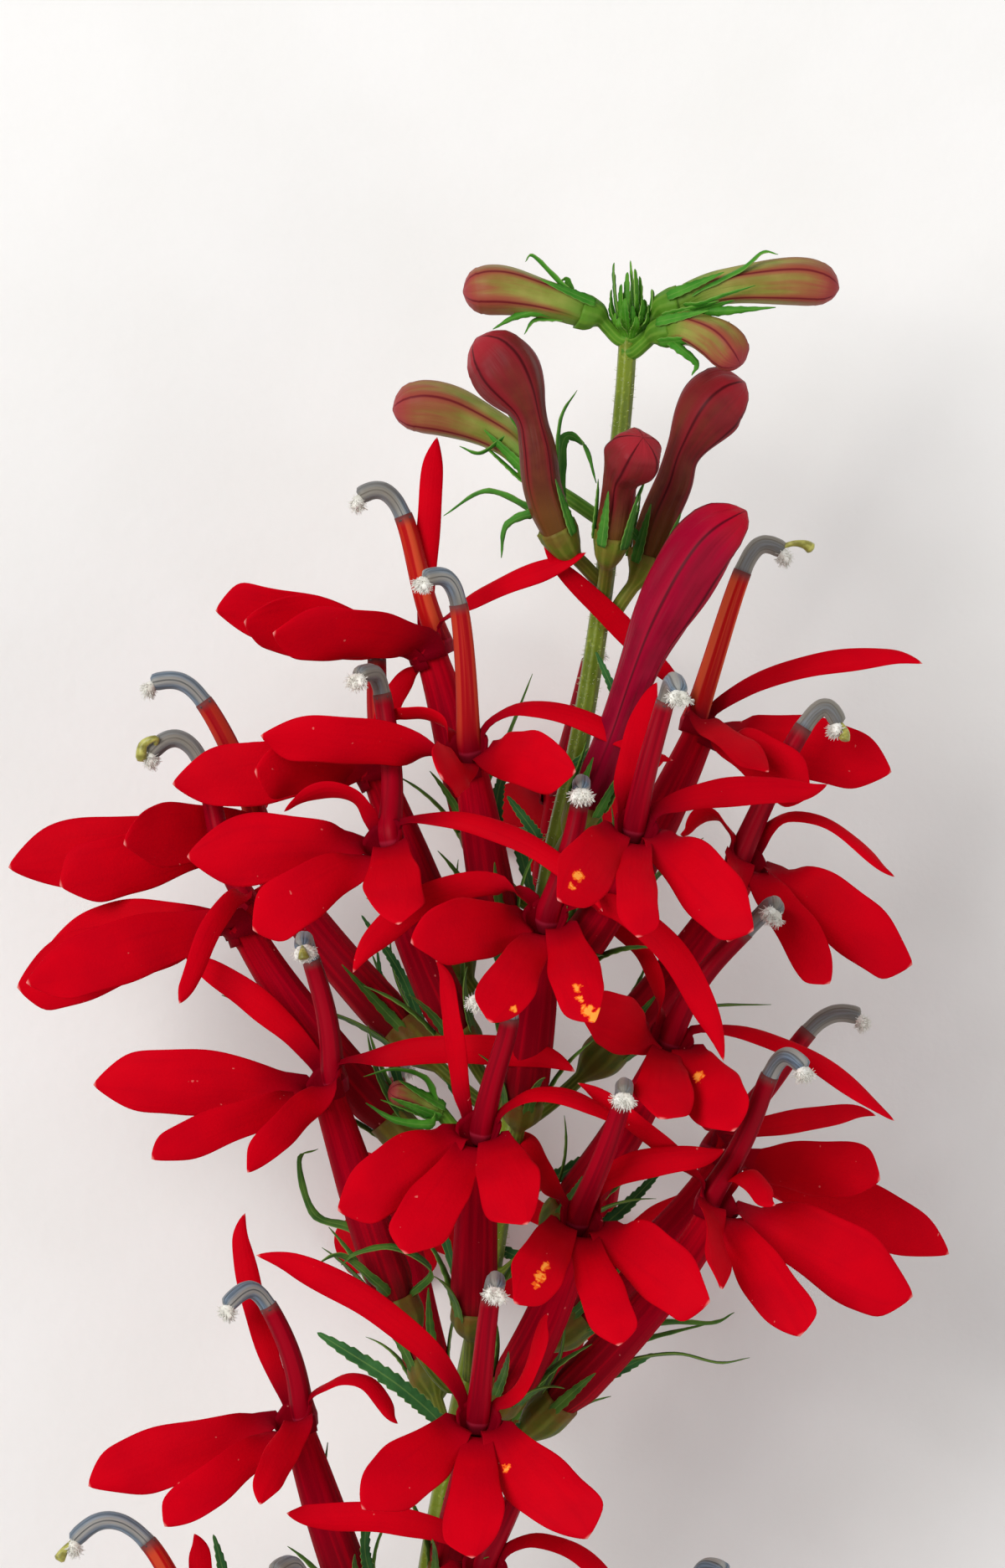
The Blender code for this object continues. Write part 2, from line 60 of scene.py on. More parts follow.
def through(points, count):
    """A smooth line through the points: on each stretch the Catmull-Rom cubic of its four nearest
    points, with the line carried straight on past both ends."""
    points = np.asarray(points, float)
    points = np.vstack([2 * points[0] - points[1], points, 2 * points[-1] - points[-2]])
    place = np.linspace(0, len(points) - 3, count)
    first = np.minimum(place.astype(int), len(points) - 4)
    t = (place - first)[:, None]
    a, b, c, d = (points[first + k] for k in range(4))
    return 0.5 * (2 * b + (c - a) * t + (2 * a - 5 * b + 4 * c - d) * t**2 + (3 * b - a - 3 * c + d) * t**3)


def points_at(places, known, line):
    """Points of a line at any places, each straight between the two nearest of its known ones."""
    return np.stack([np.interp(places, known, line[:, k]) for k in range(3)], -1)


def ways(line):
    """The unit way a line runs at each point: the difference of its neighbours, at length one."""
    return unit(np.gradient(line, axis=-2))


def beside(line):
    """A direction square to the plane a line bends in: the sum of the cross products of its arms,
    with a little of a fixed direction, which decides for a straight line."""
    arms = line[1:] - line[0]
    spare = np.cross(line[-1] - line[0], (0.3, 0.2, 1.0))
    return unit(np.cross(arms[:-1], arms[1:]).sum(0) + 0.001 * spare)


def around(count, shift=0.0):
    """The turns, in radians, of places evenly spaced round a circle, moved on by a share of a step."""
    return 2 * np.pi * (np.arange(count) + shift) / count


def spun(side, other, turns):
    """The directions at each turn from one side to the other, which is square to it: the first
    times the cosine of the turn, plus the other times its sine."""
    return side[..., None, :] * np.cos(turns)[:, None] + other[..., None, :] * np.sin(turns)[:, None]


def grained(rings, *numbers):
    """Rings of points, and with each point its grain: the four numbers that a material reads."""
    return rings, np.stack([np.broadcast_to(number, rings.shape[:-1]) for number in numbers], -1)


def rod(line, radii, sides, kind=0.0):
    """Rings of a round rod: at each point of the line, the radius turned once round it. A radius may
    change round the ring. The grain is (share along, cosine, sine of the turn, kind)."""
    way = ways(line)
    side = beside(line)
    side = unit(side - way * (way @ side)[:, None])
    turns = around(sides)
    rings = line[:, None] + spun(side, np.cross(way, side), turns) * np.reshape(radii, (len(line), -1, 1))
    return grained(rings, np.linspace(0, 1, len(line))[:, None], np.cos(turns), np.sin(turns), kind)


def skin(rings, grain):
    """A closed skin over rings of points: a quad between each four neighbours, and a fan of
    triangles to the middle of each end ring. Extra leading dimensions are separate skins."""
    n, m = rings.shape[-3:-1]
    rings, grain = rings.reshape(-1, n, m, 3), grain.reshape(-1, n, m, 4)
    index = np.arange(n * m).reshape(n, m)
    after = np.roll(index, -1, axis=1)
    quads = np.stack([index[:-1], after[:-1], after[1:], index[1:]], -1).reshape(-1, 4)
    foot = np.stack([after[0], index[0], np.full(m, n * m)], -1)
    tip = np.stack([index[-1], after[-1], np.full(m, n * m + 1)], -1)

    def poles(values):
        ends = np.stack([values[:, 0].mean(1), values[:, -1].mean(1)], 1)
        return np.concatenate([values.reshape(len(values), n * m, -1), ends], 1).reshape(-1, values.shape[-1])

    starts = (np.arange(len(rings)) * (n * m + 2))[:, None, None]
    faces = [(quads + starts).reshape(-1, 4), (np.vstack([foot, tip]) + starts).reshape(-1, 3)]
    return poles(rings), poles(grain), faces


def shown(name, data):
    """A new object of the data, at the origin of the scene."""
    made = bpy.data.objects.new(name, data)
    bpy.context.scene.collection.objects.link(made)
    return made


def piece(name, skins, tissues, numbers=None):
    """One object from several skins, places in mm: their points, faces and grain end to end, and
    the number of each skin's tissue."""
    points, grains, kinds = zip(*skins)
    starts = np.cumsum([0] + [len(block) for block in points])
    faces, finishes = [], []
    for blocks, start, number in zip(kinds, starts, numbers or [0] * len(skins)):
        for block in blocks:
            faces += (block + start).tolist()
            finishes += [number] * len(block)
    mesh = bpy.data.meshes.new(name)
    mesh.from_pydata((np.vstack(points) - MIDDLE) * MM, [], faces, shade_flat=False)
    for tissue in tissues:
        mesh.materials.append(tissue)
    mesh.polygons.foreach_set("material_index", finishes)
    grain = mesh.attributes.new("grain", "FLOAT_COLOR", "POINT")
    grain.data.foreach_set("color", np.vstack(grains).astype(np.float32).ravel())
    return shown(name, mesh)


def colour(code):
    """An sRGB hex colour as linear red, green, blue and full alpha."""
    value = np.array([int(code[k:k + 2], 16) for k in (1, 3, 5)]) / 255
    linear = np.where(value <= 0.04045, value / 12.92, ((value + 0.055) / 1.055) ** 2.4)
    return (*linear, 1.0)


def add(tree, kind, inputs=(), output=0, **settings):
    """Adds a node and gives one of its outputs. Settings are its properties; inputs, in order or by
    name, are numbers, hex colours or the outputs of other nodes."""
    node = tree.nodes.new("ShaderNode" + kind)
    for key, value in settings.items():
        setattr(node, key, value)
    for key, value in inputs.items() if isinstance(inputs, dict) else enumerate(inputs):
        if isinstance(value, bpy.types.NodeSocket):
            tree.links.new(value, node.inputs[key])
        else:
            node.inputs[key].default_value = colour(value) if isinstance(value, str) else value
    return node.outputs[output]


def material(name, roughness, **sockets):
    """A new material and its tree, with uniform values set on the sockets of its shader."""
    made = bpy.data.materials.new(name)
    made.use_nodes = True
    for key, value in {"Roughness": roughness, **sockets}.items():
        made.node_tree.nodes["Principled BSDF"].inputs[key.replace("_", " ")].default_value = value
    return made, made.node_tree


def parts(tree):
    """Where a point is, in metres, its grain as a whole, and the grain's four numbers."""
    grain = add(tree, "Attribute", output="Vector", attribute_name="grain")
    numbers = add(tree, "SeparateXYZ", (grain,)).node.outputs
    return add(tree, "TexCoord", output="Object"), grain, *numbers, grain.node.outputs["Alpha"]


def noise(tree, place, size, detail):
    """Soft clouds of noise, about a size in mm across."""
    return add(tree, "TexNoise", {"Vector": place, "Scale": 1 / (size * MM), "Detail": detail})


def coats(tree, base, *layers):
    """Colours laid over a base, one after another. Each is (value, low, high, strength, colour): none
    of it where the value is under low, its full strength past high, and a smooth step between."""
    for value, low, high, strength, code in layers:
        share = add(tree, "MapRange", (value, low, high, 0, strength), interpolation_type="SMOOTHSTEP")
        base = add(tree, "Mix", {0: share, 6: base, 7: code}, 2, data_type="RGBA")
    return base


def finish(made, base, height=None, rise=0.0):
    """Gives a material its colour and, where it has a height, a surface raised by that height times
    the rise, in mm."""
    tree, sockets = made.node_tree, made.node_tree.nodes["Principled BSDF"].inputs
    tree.links.new(base, sockets["Base Color"])
    if height:
        raised = add(tree, "Bump", {"Height": height, "Distance": rise * MM, "Strength": 1.0})
        tree.links.new(raised, sockets["Normal"])
    return made


def spokes(tree, cosine, sine, count, power):
    """How near a point of a rod is to one of its evenly spaced lengthwise lines, from 0 to 1: the
    cosine of its turn times half their count, without its sign, to the power."""
    turn = add(tree, "Math", (sine, cosine), operation="ARCTAN2")
    wave = add(tree, "Math", (turn, count / 2), operation="MULTIPLY")
    for operation in ("COSINE", "ABSOLUTE"):
        wave = add(tree, "Math", (wave,), operation=operation)
    return add(tree, "Math", (wave, power), operation="POWER")


def stem_skin():
    """Plant epidermis: waxy and living, so a soft even shine over yellow-green in patches 4.5 mm
    wide, with paler ribs and dots 0.4 mm wide, and white pith in the cut face."""
    made, tree = material("stem_epidermis", 0.42, IOR=1.42, Sheen_Weight=0.1)
    place, _, along, cosine, sine, _ = parts(tree)
    patches = noise(tree, place, 4.5, 4)
    dots = noise(tree, place, 0.4, 1)
    pores = noise(tree, place, 0.55, 3)
    base = coats(
        tree, "#546604",
        (patches, 0.35, 0.65, 1, "#6C7D0A"),
        (spokes(tree, cosine, sine, STEM_RIBS, 3), 0, 1, 0.3, "#8A9624"),
        (dots, 0.62, 0.72, 0.35, "#A2AE44"),
        (along, 0.012, 0, 1, "#C9CFA0"))
    return finish(made, base, pores, 0.08)


def on_stem(along):
    """The stem's middle line and radius at distances along Y."""
    middle = points_at(along, STEM_LINE[:, 1], STEM_LINE)
    return middle, np.interp(along, STEM_LINE[[0, -1], 1], (STEM_RADIUS_CUT, STEM_RADIUS_TIP))


stem_axis = through(STEM_LINE, STEM_RINGS)
_, stem_radii = on_stem(stem_axis[:, 1])
stem_radii = stem_radii[:, None] * (1 + STEM_RIB_RISE * np.cos(STEM_RIBS * around(STEM_SIDES)))
stem = piece("stem_shoot", [skin(*rod(stem_axis, stem_radii, STEM_SIDES))], [stem_skin()])
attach(stem, "root")
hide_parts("stem")

# ---- Down on the stem ----
# Short, soft, colourless hairs that stand out from the upper stem. Each is one tapered cell; they
# are drawn about three times as thick as they grow, so that they show.

HAIR_COUNT, HAIR_SIDES = 900, 3
HAIR_LENGTH, HAIR_RADIUS, HAIR_ROOT = 0.32, 0.03, 0.05
DOWN_FROM, DOWN_TO = -40, 36
rng = np.random.default_rng(7)


def hairs(roots, tips, bends, radius, stations=4, taper=0.35):
    """Rings of many thin hairs at once: each follows its own quadratic curve from root by bend to
    tip, and thins to a share of its radius. The grain is (share along, a chance number, 0, 0)."""
    t = np.linspace(0, 1, stations)[:, None]
    line = roots[:, None] * (1 - t) ** 2 + 2 * bends[:, None] * t * (1 - t) + tips[:, None] * t**2
    way = ways(line)
    side = unit(np.cross(way, (0.31, 0.42, 0.85)))
    thick = radius * (1 + (taper - 1) * t[..., None])
    rings = line[:, :, None] + thick * spun(side, np.cross(way, side), around(HAIR_SIDES))
    return grained(rings, t, rng.random((len(roots), 1, 1)), 0, 0)


def hair_cell(name, low, high):
    """Plant hair: a dry, empty cell that scatters light, so pale and matt, uneven from hair to hair
    and over a millimetre."""
    made, tree = material(name, 0.6, Sheen_Weight=0.3)
    place, _, _, chance, _, _ = parts(tree)
    tufts = noise(tree, place, 1.1, 3)
    base = coats(tree, low, (chance, 0, 1, 0.6, high), (tufts, 0.3, 0.7, 0.6, high))
    return finish(made, base)


down_along = rng.uniform(DOWN_FROM, DOWN_TO, HAIR_COUNT)
down_turn = rng.uniform(0, 2 * np.pi, HAIR_COUNT)
down_out = np.stack([np.cos(down_turn), rng.uniform(-0.3, 0.5, HAIR_COUNT), np.sin(down_turn)], -1)
_, down_radius = on_stem(down_along)
down_foot = points_at(down_along, stem_axis[:, 1], stem_axis)
down_foot = down_foot + down_out * [1, 0, 1] * (down_radius - HAIR_ROOT)[:, None]
down_tip = down_foot + unit(down_out) * HAIR_LENGTH * rng.uniform(0.6, 1.2, (HAIR_COUNT, 1))
down = piece("stem_down", [skin(*hairs(down_foot, down_tip, (down_foot + down_tip) / 2, HAIR_RADIUS))],
             [hair_cell("down_hair", "#A9B76A", "#DCE2B4")])
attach(down, "root")

# ---- Stalks, cups and sepals ----
# The pedicel, the ribbed cup of the ovary and five narrow sepals with gland-tipped teeth are one
# green piece of leafy tissue. The pedicel springs from the stem and bends up into the cup, and the
# sepals stand round the foot of the red tube.

# Each flower, line by line: the throat that its tube opens at, and how far below it the stalk
# springs; the three lobes of its lip (tip, width, roll in degrees, and for some how far the widest
# part slants); its two wings (bend, tip, width, roll); the bend and top of its column, and the bend
# and end of its anthers. All but the first are measured from the throat.
FLOWERS = (
    ((-6.5, 12, 32), 22,
     (((-17.5, 2.5, -3), 6, 30), ((-15, 1.5, 4), 6, 30), ((-12.5, 0.5, 10), 5.5, 30)),
     (((0, 8.5, 1), (1, 17, -2), 2, 0), ((3.5, 4, 2), (13.5, 7, 6), 2, 35)),
     ((-0.5, 5, 0), (-1.5, 10.5, 0)), ((-3.5, 13, 0), (-5.5, 12, 0))),
    ((17, 5.5, 30), 20,
     (((15.5, -4.5, 0), 5.5, 0), ((8.5, -6.5, 9), 4.6, 0), ((5, -4.5, 12), 3, 40)),
     (((-4, 5, 3), (-14, 14, 7), 2, 0), ((5.5, 5.5, 0), (18, 5, 0), 2, 20)),
     ((1, 6, 0), (3, 12.5, 0)), ((4.5, 15, 0), (6.5, 14, 0))),
    ((-3, 3, 40), 20,
     (((-17, 1, 3), 4.5, 20), ((-2, -2.5, 14), 5, 0), ((9, -2, 11), 5, 0)),
     (((-2, 3.5, -1), (-6.5, 2.5, -4), 2, 60), ((4.5, 6.5, 0), (17, -1.5, 1), 2, 35)),
     ((0, 6.5, 0), (-0.5, 12, 0)), ((-1.5, 14.5, 1), (-3.5, 14, 2))),
    ((-11, 2, 32), 22,
     (((-16.5, -2, 2), 5.5, 0), ((-9.5, -1, 10), 5, 0), ((-14.5, -1.5, -8), 5, 0)),
     (((0, 3.5, 0), (4, 8, -1), 2, 0), ((0.5, 3, -6), (0.5, 4, -13), 2, 0)),
     ((0.5, 4, -1), (0.5, 8.5, -2)), ((0.5, 10.5, -2), (-1.5, 10, -2))),
    ((5, 0, 14), 20,
     (((-8, -5, -14), 5.5, 0), ((-0.5, -8.5, -12), 5, 0), ((8.5, -5, -14), 5.5, 0)),
     (((-5, 2.5, -2), (-8, 1, -8), 2, 0), ((4.5, 2.5, -2), (9, 2, -8), 2, 0)),
     ((1.5, 6, -1), (2.5, 10.5, -2)), ((3, 12.5, -4), (3, 11.5, -7))),
    ((-21.5, -3.5, 24), 24,
     (((-20, -3.5, 0), 6, 0), ((-15.5, -5, 6), 5.5, 0), ((-10, -1.5, 12), 5.5, 0)),
     (((0.5, 3, -2), (2.5, 6, -6), 2, 30), ((0.5, 2, -6), (1.5, 3, -14), 2, 0)),
     ((-1, 6, 0), (-3.5, 10.5, 0)), ((-5.5, 12.5, 0), (-8, 12, 0))),
    ((11, -3.5, 48), 14,
     (((-6.5, -6, 12), 5, 0), ((0, -9, 13), 3.6, 0), ((9.5, -8.5, 9), 5.5, 0, 0.1)),
     (((-1, 5, -1), (1.5, 12, -6), 2, 0), ((5, 3.5, -3), (16, 3, -8), 2.5, 0)),
     ((1, 5.5, 1), (2.5, 10.5, 1)), ((3, 12.5, 3), (3.5, 11, 7))),
    ((-10, -4.5, 43), 22,
     (((-16, -1.5, 3), 6, 0), ((-10.5, -7.5, 8), 5, 0), ((1.5, -7, 12), 5, 0)),
     (((-2.5, 6, 0), (-8, 2.5, -1), 2, 50), ((9.5, 3.5, 3), (18.5, -5.5, 6), 2, 20)),
     ((1, 5.5, -5), (0, 12, -6)), ((-0.5, 14, -5), (-2, 13.5, -3))),
    ((20.5, -6, 36), 22,
     (((13.5, -9, 3), 5.5, 0, 0.12), ((6.5, -10.5, 9), 3.7, 0), ((-2, -7, 12), 4, 60)),
     (((-3, 5.5, -1), (-5.5, 1.5, -2), 2, 60), ((3.5, 7.5, 0), (12, -2, 0), 2, 60)),
     ((1.5, 5, -1), (4.5, 11, -1)), ((6.5, 13, -1), (7.5, 11, -1))),
    ((3.5, -11, 45), 21,
     (((-11, -2, 10), 5.5, 0), ((-4.5, -8.5, 12), 4.5, 0), ((4, -8.5, 12), 4.5, 0)),
     (((-7.5, 6, 0), (-16, -4, 2), 2.5, 0), ((9, 3.5, 6), (15, -11.5, 3), 2.5, 0)),
     ((2, 5, 0), (3, 9.5, 0)), ((3, 11.5, 1), (3, 10.5, 4))),
    ((-22, -11, 31), 24,
     (((-16, -2.5, -6), 5.5, 0), ((-18.5, -6, 1), 6, 0), ((-17.5, -5.5, 8), 5.5, 0)),
     (((-1, 4, 6), (-4.5, -7.5, 9), 2, 20), ((3.5, 2, -1), (8, 5, -4), 2, 0)),
     ((-2, 6, 0), (-2.5, 13, -1)), ((-5.5, 15.5, -1), (-7.5, 13.5, -1))),
    ((14, -21, 40), 20,
     (((-7.5, 2, 11), 5, 0), ((-1, -6.5, 13), 5, 0), ((5, -7.5, 12), 5.5, 0)),
     (((-0.5, 6.5, -1), (-5.5, 9.5, -3), 2, 50), ((8.5, 2, 0), (18.5, -7, -1), 2, 40)),
     ((2.5, 5.5, 1), (6.5, 9, 1)), ((8.5, 11.5, 3), (8.5, 10.5, 6))),
    ((-15, -24.5, 36), 26,
     (((-19, -0.5, 1), 5.7, 0), ((-14, -6.5, 8), 3.4, 0), ((-6, -7.5, 12), 2.8, 0)),
     (((-3, 5.5, 0), (-12, 10.5, -2), 2.5, 0), ((11.5, 4, 3), (21, 1, 6), 2.5, 0)),
     ((0.5, 5.5, 0), (-1, 10, 0)), ((-1.5, 12, 2), (-1.5, 11, 6))),
    ((-2, -28.5, 45), 21,
     (((-11.5, -6.5, 8), 5.5, 0), ((-6, -10, 9), 5, 0), ((4, -7.5, 12), 5.5, 0)),
     (((-2, 6.5, 0), (-3, 14, 0), 2, 30), ((5, 5.5, 0), (12.5, 0, -1), 2, 50)),
     ((1.5, 5.5, 1), (3, 9.5, 2)), ((2, 12, 3), (0, 11, 5))),
    ((19, -30.5, 25), 20,
     (((18.5, -9, -1), 5, 0), ((12.5, -2.5, 8), 5, 0), ((10, -5, -10), 5, 0)),
     (((5, 2, -3), (12.5, 3, -9), 2, 0), ((-2, 3, -6), (-3.5, 5.5, -12), 2, 0)),
     ((3.5, 5, 0), (6.5, 10, 0)), ((9, 11.5, 0), (11, 11, 0))),
    ((18, -34.5, 39), 24,
     (((0, -7, 12), 3.4, 60), ((6.5, -11, 9), 4.6, 0, -0.08), ((16, -8, 1), 6.6, 0, 0.1)),
     (((-4.5, 4.5, 4), (-11.5, 10, 3), 2, 30), ((2, 4, 2), (4, -0.5, 8), 2, 40)),
     ((2.5, 5.5, 1), (4, 10.5, 2)), ((5.5, 12.5, 3), (7, 11, 4))),
    ((-9, -35, 12), 20,
     (((-4, -7, -12), 5.5, 0), ((1.5, -8, -11), 5, 0), ((7.5, -4.5, -12), 5.5, 0)),
     (((-2, 2.5, -2), (-3, 3.5, -8), 2, 0), ((3.5, 3, -2), (8.5, 3, -8), 2, 0)),
     ((0, 5.5, -1), (0, 10, -2)), ((0, 11.5, -4), (0.5, 11, -7))),
    ((6.5, -36, 44), 20,
     (((-5.5, -6.5, 12), 4.5, 0), ((3, -10, 11), 4.1, 0), ((10.5, -6.5, 9), 5.8, 0, 0.13)),
     (((-3.5, 4, -4), (-5, 7, -12), 2, 0), ((-0.5, 4.5, -1), (12, 5.5, -2), 2.5, 0)),
     ((2, 5.5, 2), (3.5, 10, 3)), ((3.5, 11.5, 5), (3.5, 10.5, 8))),
    ((8, -40, 13), 20,
     (((-8, -3.5, -12), 5.5, 0), ((0, -8, -13), 5, 0), ((8, -3.5, -13), 5.5, 0)),
     (((-4.5, 3.5, -2), (-8, 5, -8), 2, 0), ((4.5, 3.5, -2), (9.5, 5, -8), 2, 0)),
     ((1, 5.5, -1), (2, 10.5, -2)), ((2, 12, -4), (2, 11, -7))),
    ((-17.5, -52.5, 33), 22,
     (((-17, -6, 1), 5.4, 0), ((-10.5, -9, 8), 3.7, 0), ((-2.5, -7, 12), 2.8, 0)),
     (((-3.5, 7, -2), (-4.5, 16.5, -3), 2, 0), ((6, 6, 2), (8.5, -1, 4), 2, 50)),
     ((0, 5, 0), (-2, 9, 0)), ((-3.5, 11, 1), (-5.5, 9, 2))),
    ((-2, -52.5, 43), 18,
     (((-9.5, -7, 9), 5.5, 0), ((-0.5, -11, 10), 5, 0), ((9, -9.5, 8), 6, 0, -0.12)),
     (((-3.5, 8, 0), (-18, 14, 0), 2.5, 0), ((4.5, 2, 0), (5.5, 9, 1), 2, 50)),
     ((0.5, 5.5, 1), (1, 10.5, 2)), ((1.5, 12, 4), (1.5, 11, 8))),
    ((-1.5, -65, 40), 20,
     (((-9.5, -7, 9), 5.5, 0), ((-1, -11, 10), 5, 0), ((8.5, -9, 9), 5.5, 0)),
     (((-3.5, 5, 0), (-16.5, 4, 0), 2.5, 0), ((5, 5, 0), (12, -2.5, 0), 2, 40)),
     ((2, 4.5, -1), (3.5, 8, -2)), ((4, 10, -2), (4.5, 9, 1))),
    ((-25.5, -73.5, 27), 22,
     (((-16, -3.5, 2), 5.5, 0), ((-13, -5.5, 8), 5, 0), ((-8, -6.5, 12), 5, 0)),
     (((0.5, 5, -1), (0, 10.5, -3), 2, 0), ((4.5, 2, -4), (9, 3, -9), 2, 0)),
     ((-1.5, 5, 0), (-4, 10.5, 0)), ((-8, 12.5, 0), (-10.5, 10, 0))),
    ((14, -76.5, 32), 20,
     (((-2, -9, 12), 5, 0), ((7, -9, 10), 5, 0), ((13, -5, 6), 5.5, 0)),
     (((-3, 4, -1), (-7.5, 7.5, -5), 2, 0), ((5, 3, 0), (14, 3, -2), 2, 0)),
     ((1, 5, 0), (2, 10, 0)), ((3, 11.5, 1), (4.5, 11, 3))),
    ((-14, -77, 34), 20,
     (((-12.5, -5.5, 7), 5.5, 0), ((-7.5, -8.5, 10), 5, 0), ((0.5, -10, 12), 5, 0)),
     (((-4, 5, 0), (-12.5, 7, -2), 2, 0), ((3, 5, -2), (7.5, 7.5, -8), 2, 0)),
     ((-1, 5.5, 0), (-2.5, 10.5, 0)), ((-3.5, 12.5, 1), (-5, 11.5, 3))),
)
FOOT_REACH, KNEE_REACH, KNEE_RISE, NECK_LENGTH = 0.6, 5.0, 3, 8.0
PEDICEL_RADIUS, CUP_RADIUS = 0.6, 1.8
# The shares of a flower's middle line where the cup begins, is full, and ends.
CUP_FROM, CUP_FULL, CUP_TO = 0.24, 0.33, 0.38
CUP_RIBS, CUP_RIB_RISE = 10, 0.05
CUP_RINGS, CUP_SIDES = 34, 30
SEPALS, SEPAL_TEETH, SEPAL_RINGS = 5, 7, 28
SEPAL_LENGTH, SEPAL_WIDTH, SEPAL_THICKNESS = 8.0, 0.95, 0.22
# How deep a sepal springs below the rim, and for one that stands clear, how far towards its first
# point it then starts.
SEPAL_SINK, CLEAR_SINK, CLEAR_REACH = 0.8, 0.6, 1.6

# Sepals that stand clear of the flowers, by flower: the points each passes after its foot.
CLEAR_SEPALS = {
    1: (((-1.6, -0.5, 32.5), (0.4, 4, 33), (2.5, 9.2, 33)),),
    2: (((7.9, -3, 31), (8.4, 4, 32), (9.4, 6.4, 33), (7.7, 11, 34)),),
    6: (((-12, -15.5, 26), (-15.5, -10, 24)),),
    9: (((11.5, -20, 33), (17, -18.6, 33), (22.4, -18.4, 33)),),
    13: (((-12, -37.5, 33), (-15.7, -36, 31), (-17, -31.5, 30), (-15.4, -30.5, 30)),
         ((-6, -40.5, 35), (-9, -38.6, 36.5), (-12, -39, 37), (-13.4, -40, 37)),
         ((-10.5, -41.5, 35.5), (-13.5, -39.2, 37), (-16, -40.3, 38))),
    11: (((-14, -23.5, 31), (-18.5, -19.5, 32), (-23.4, -17.6, 33)),),
    16: (((8.5, -48.6, 33), (14, -47.4, 34), (18, -48.2, 34), (20.6, -47.8, 34)),
         ((8.6, -47.3, 31), (12.4, -46.2, 31), (17.5, -45, 31)),
         ((8.8, -46, 34), (13.5, -44.9, 35), (17.5, -44.9, 35), (19.3, -44, 35))),
    20: (((-15.4, -62.5, 30), (-14.6, -55, 31)),),
}


def bezier(controls, shares):
    """Points of a Bezier curve: the sum of its controls, each weighed by its Bernstein polynomial."""
    controls = np.asarray(controls, float)
    order = len(controls) - 1
    k = np.arange(order + 1)
    t = np.asarray(shares, float)[:, None]
    ways_to_pick = np.array([math.comb(order, n) for n in k])
    return (ways_to_pick * t**k * (1 - t) ** (order - k)) @ controls


def middle_line(throat, drop):
    """The four controls of a flower's middle line, and its way out from the stem. They are its foot
    beside the stem, a knee further out, a neck below the throat, and the throat."""
    throat = np.array(throat, float)
    middle, radius = on_stem(throat[1] - drop)
    out = unit((throat - middle) * [1, 0, 1])
    foot = middle + out * (radius + FOOT_REACH)
    knee = foot + out * KNEE_REACH + [0, KNEE_RISE, 0]
    neck = throat - unit(out * 0.4 + [0, 0.9, 0]) * NECK_LENGTH
    return np.array([foot, knee, neck, throat]), out


def blade(line, halves, side, thickness, kind, cup=0.0, wave=0.0, seed=0.0, sides=16):
    """Rings of a thin leaf. Across each station the skin is a flat ellipse, as wide as the leaf's two
    half widths and as thick as asked, lifted by cup times the square of the way out, and by a wave
    that grows with its cube. The grain is (share along, way out from -1 to 1, seed, kind)."""
    way = ways(line)
    side = np.broadcast_to(side, line.shape)
    side = unit(side - way * (way * side).sum(1, keepdims=True))
    turns = around(sides, 0.5)
    out, through_leaf = np.cos(turns), -np.sin(turns)
    left, right = halves
    half = np.where(out > 0, np.reshape(left, (-1, 1)), np.reshape(right, (-1, 1)))
    shares = np.linspace(0, 1, len(line))[:, None]
    ripple = np.sin(2 * np.pi * (1.6 * shares + seed) + np.sign(out) * 1.3)
    lift = half * (cup * out**2 + wave * np.abs(out) ** 3 * ripple)
    lift = lift + thickness / 2 * through_leaf * np.minimum(1, half / thickness)
    up = np.cross(side, way)
    rings = line[:, None] + side[:, None] * (half * out)[..., None] + up[:, None] * lift[..., None]
    return grained(rings, shares, out, seed, kind)


def sepals(rim, way, outwards, curves, clear, sink, reach, width, stations):
    """Skins of the sepals round a rim, each widest near its foot and drawn to a point, with small even
    teeth: sines to the fourth power. The first follow their clear points, from a foot sunk below the
    rim that reaches towards the first of them, and the others their own quadratic curves."""
    shares = np.linspace(0, 1, stations)
    half = width / 2 * np.minimum(1, 0.7 + 2 * shares) * (1 - shares**1.5) + 0.04
    half = half * (1 + 0.22 * np.abs(np.sin(np.pi * SEPAL_TEETH * shares)) ** 4)
    skins = []
    for k, (outward, curve) in enumerate(zip(outwards, curves)):
        line = bezier(curve, shares)
        if k < len(clear):
            foot = rim - way * sink + unit(np.array(clear[k][0]) - rim) * reach
            line = through([foot, *clear[k]], stations)
        side = np.cross(unit(line[-1] - line[0]), outward)
        rings, grain = blade(line, (half, half), side, SEPAL_THICKNESS, 1.0, cup=0.35, seed=0.1 * k, sides=8)
        skins.append(skin(rings, grain))
    return skins


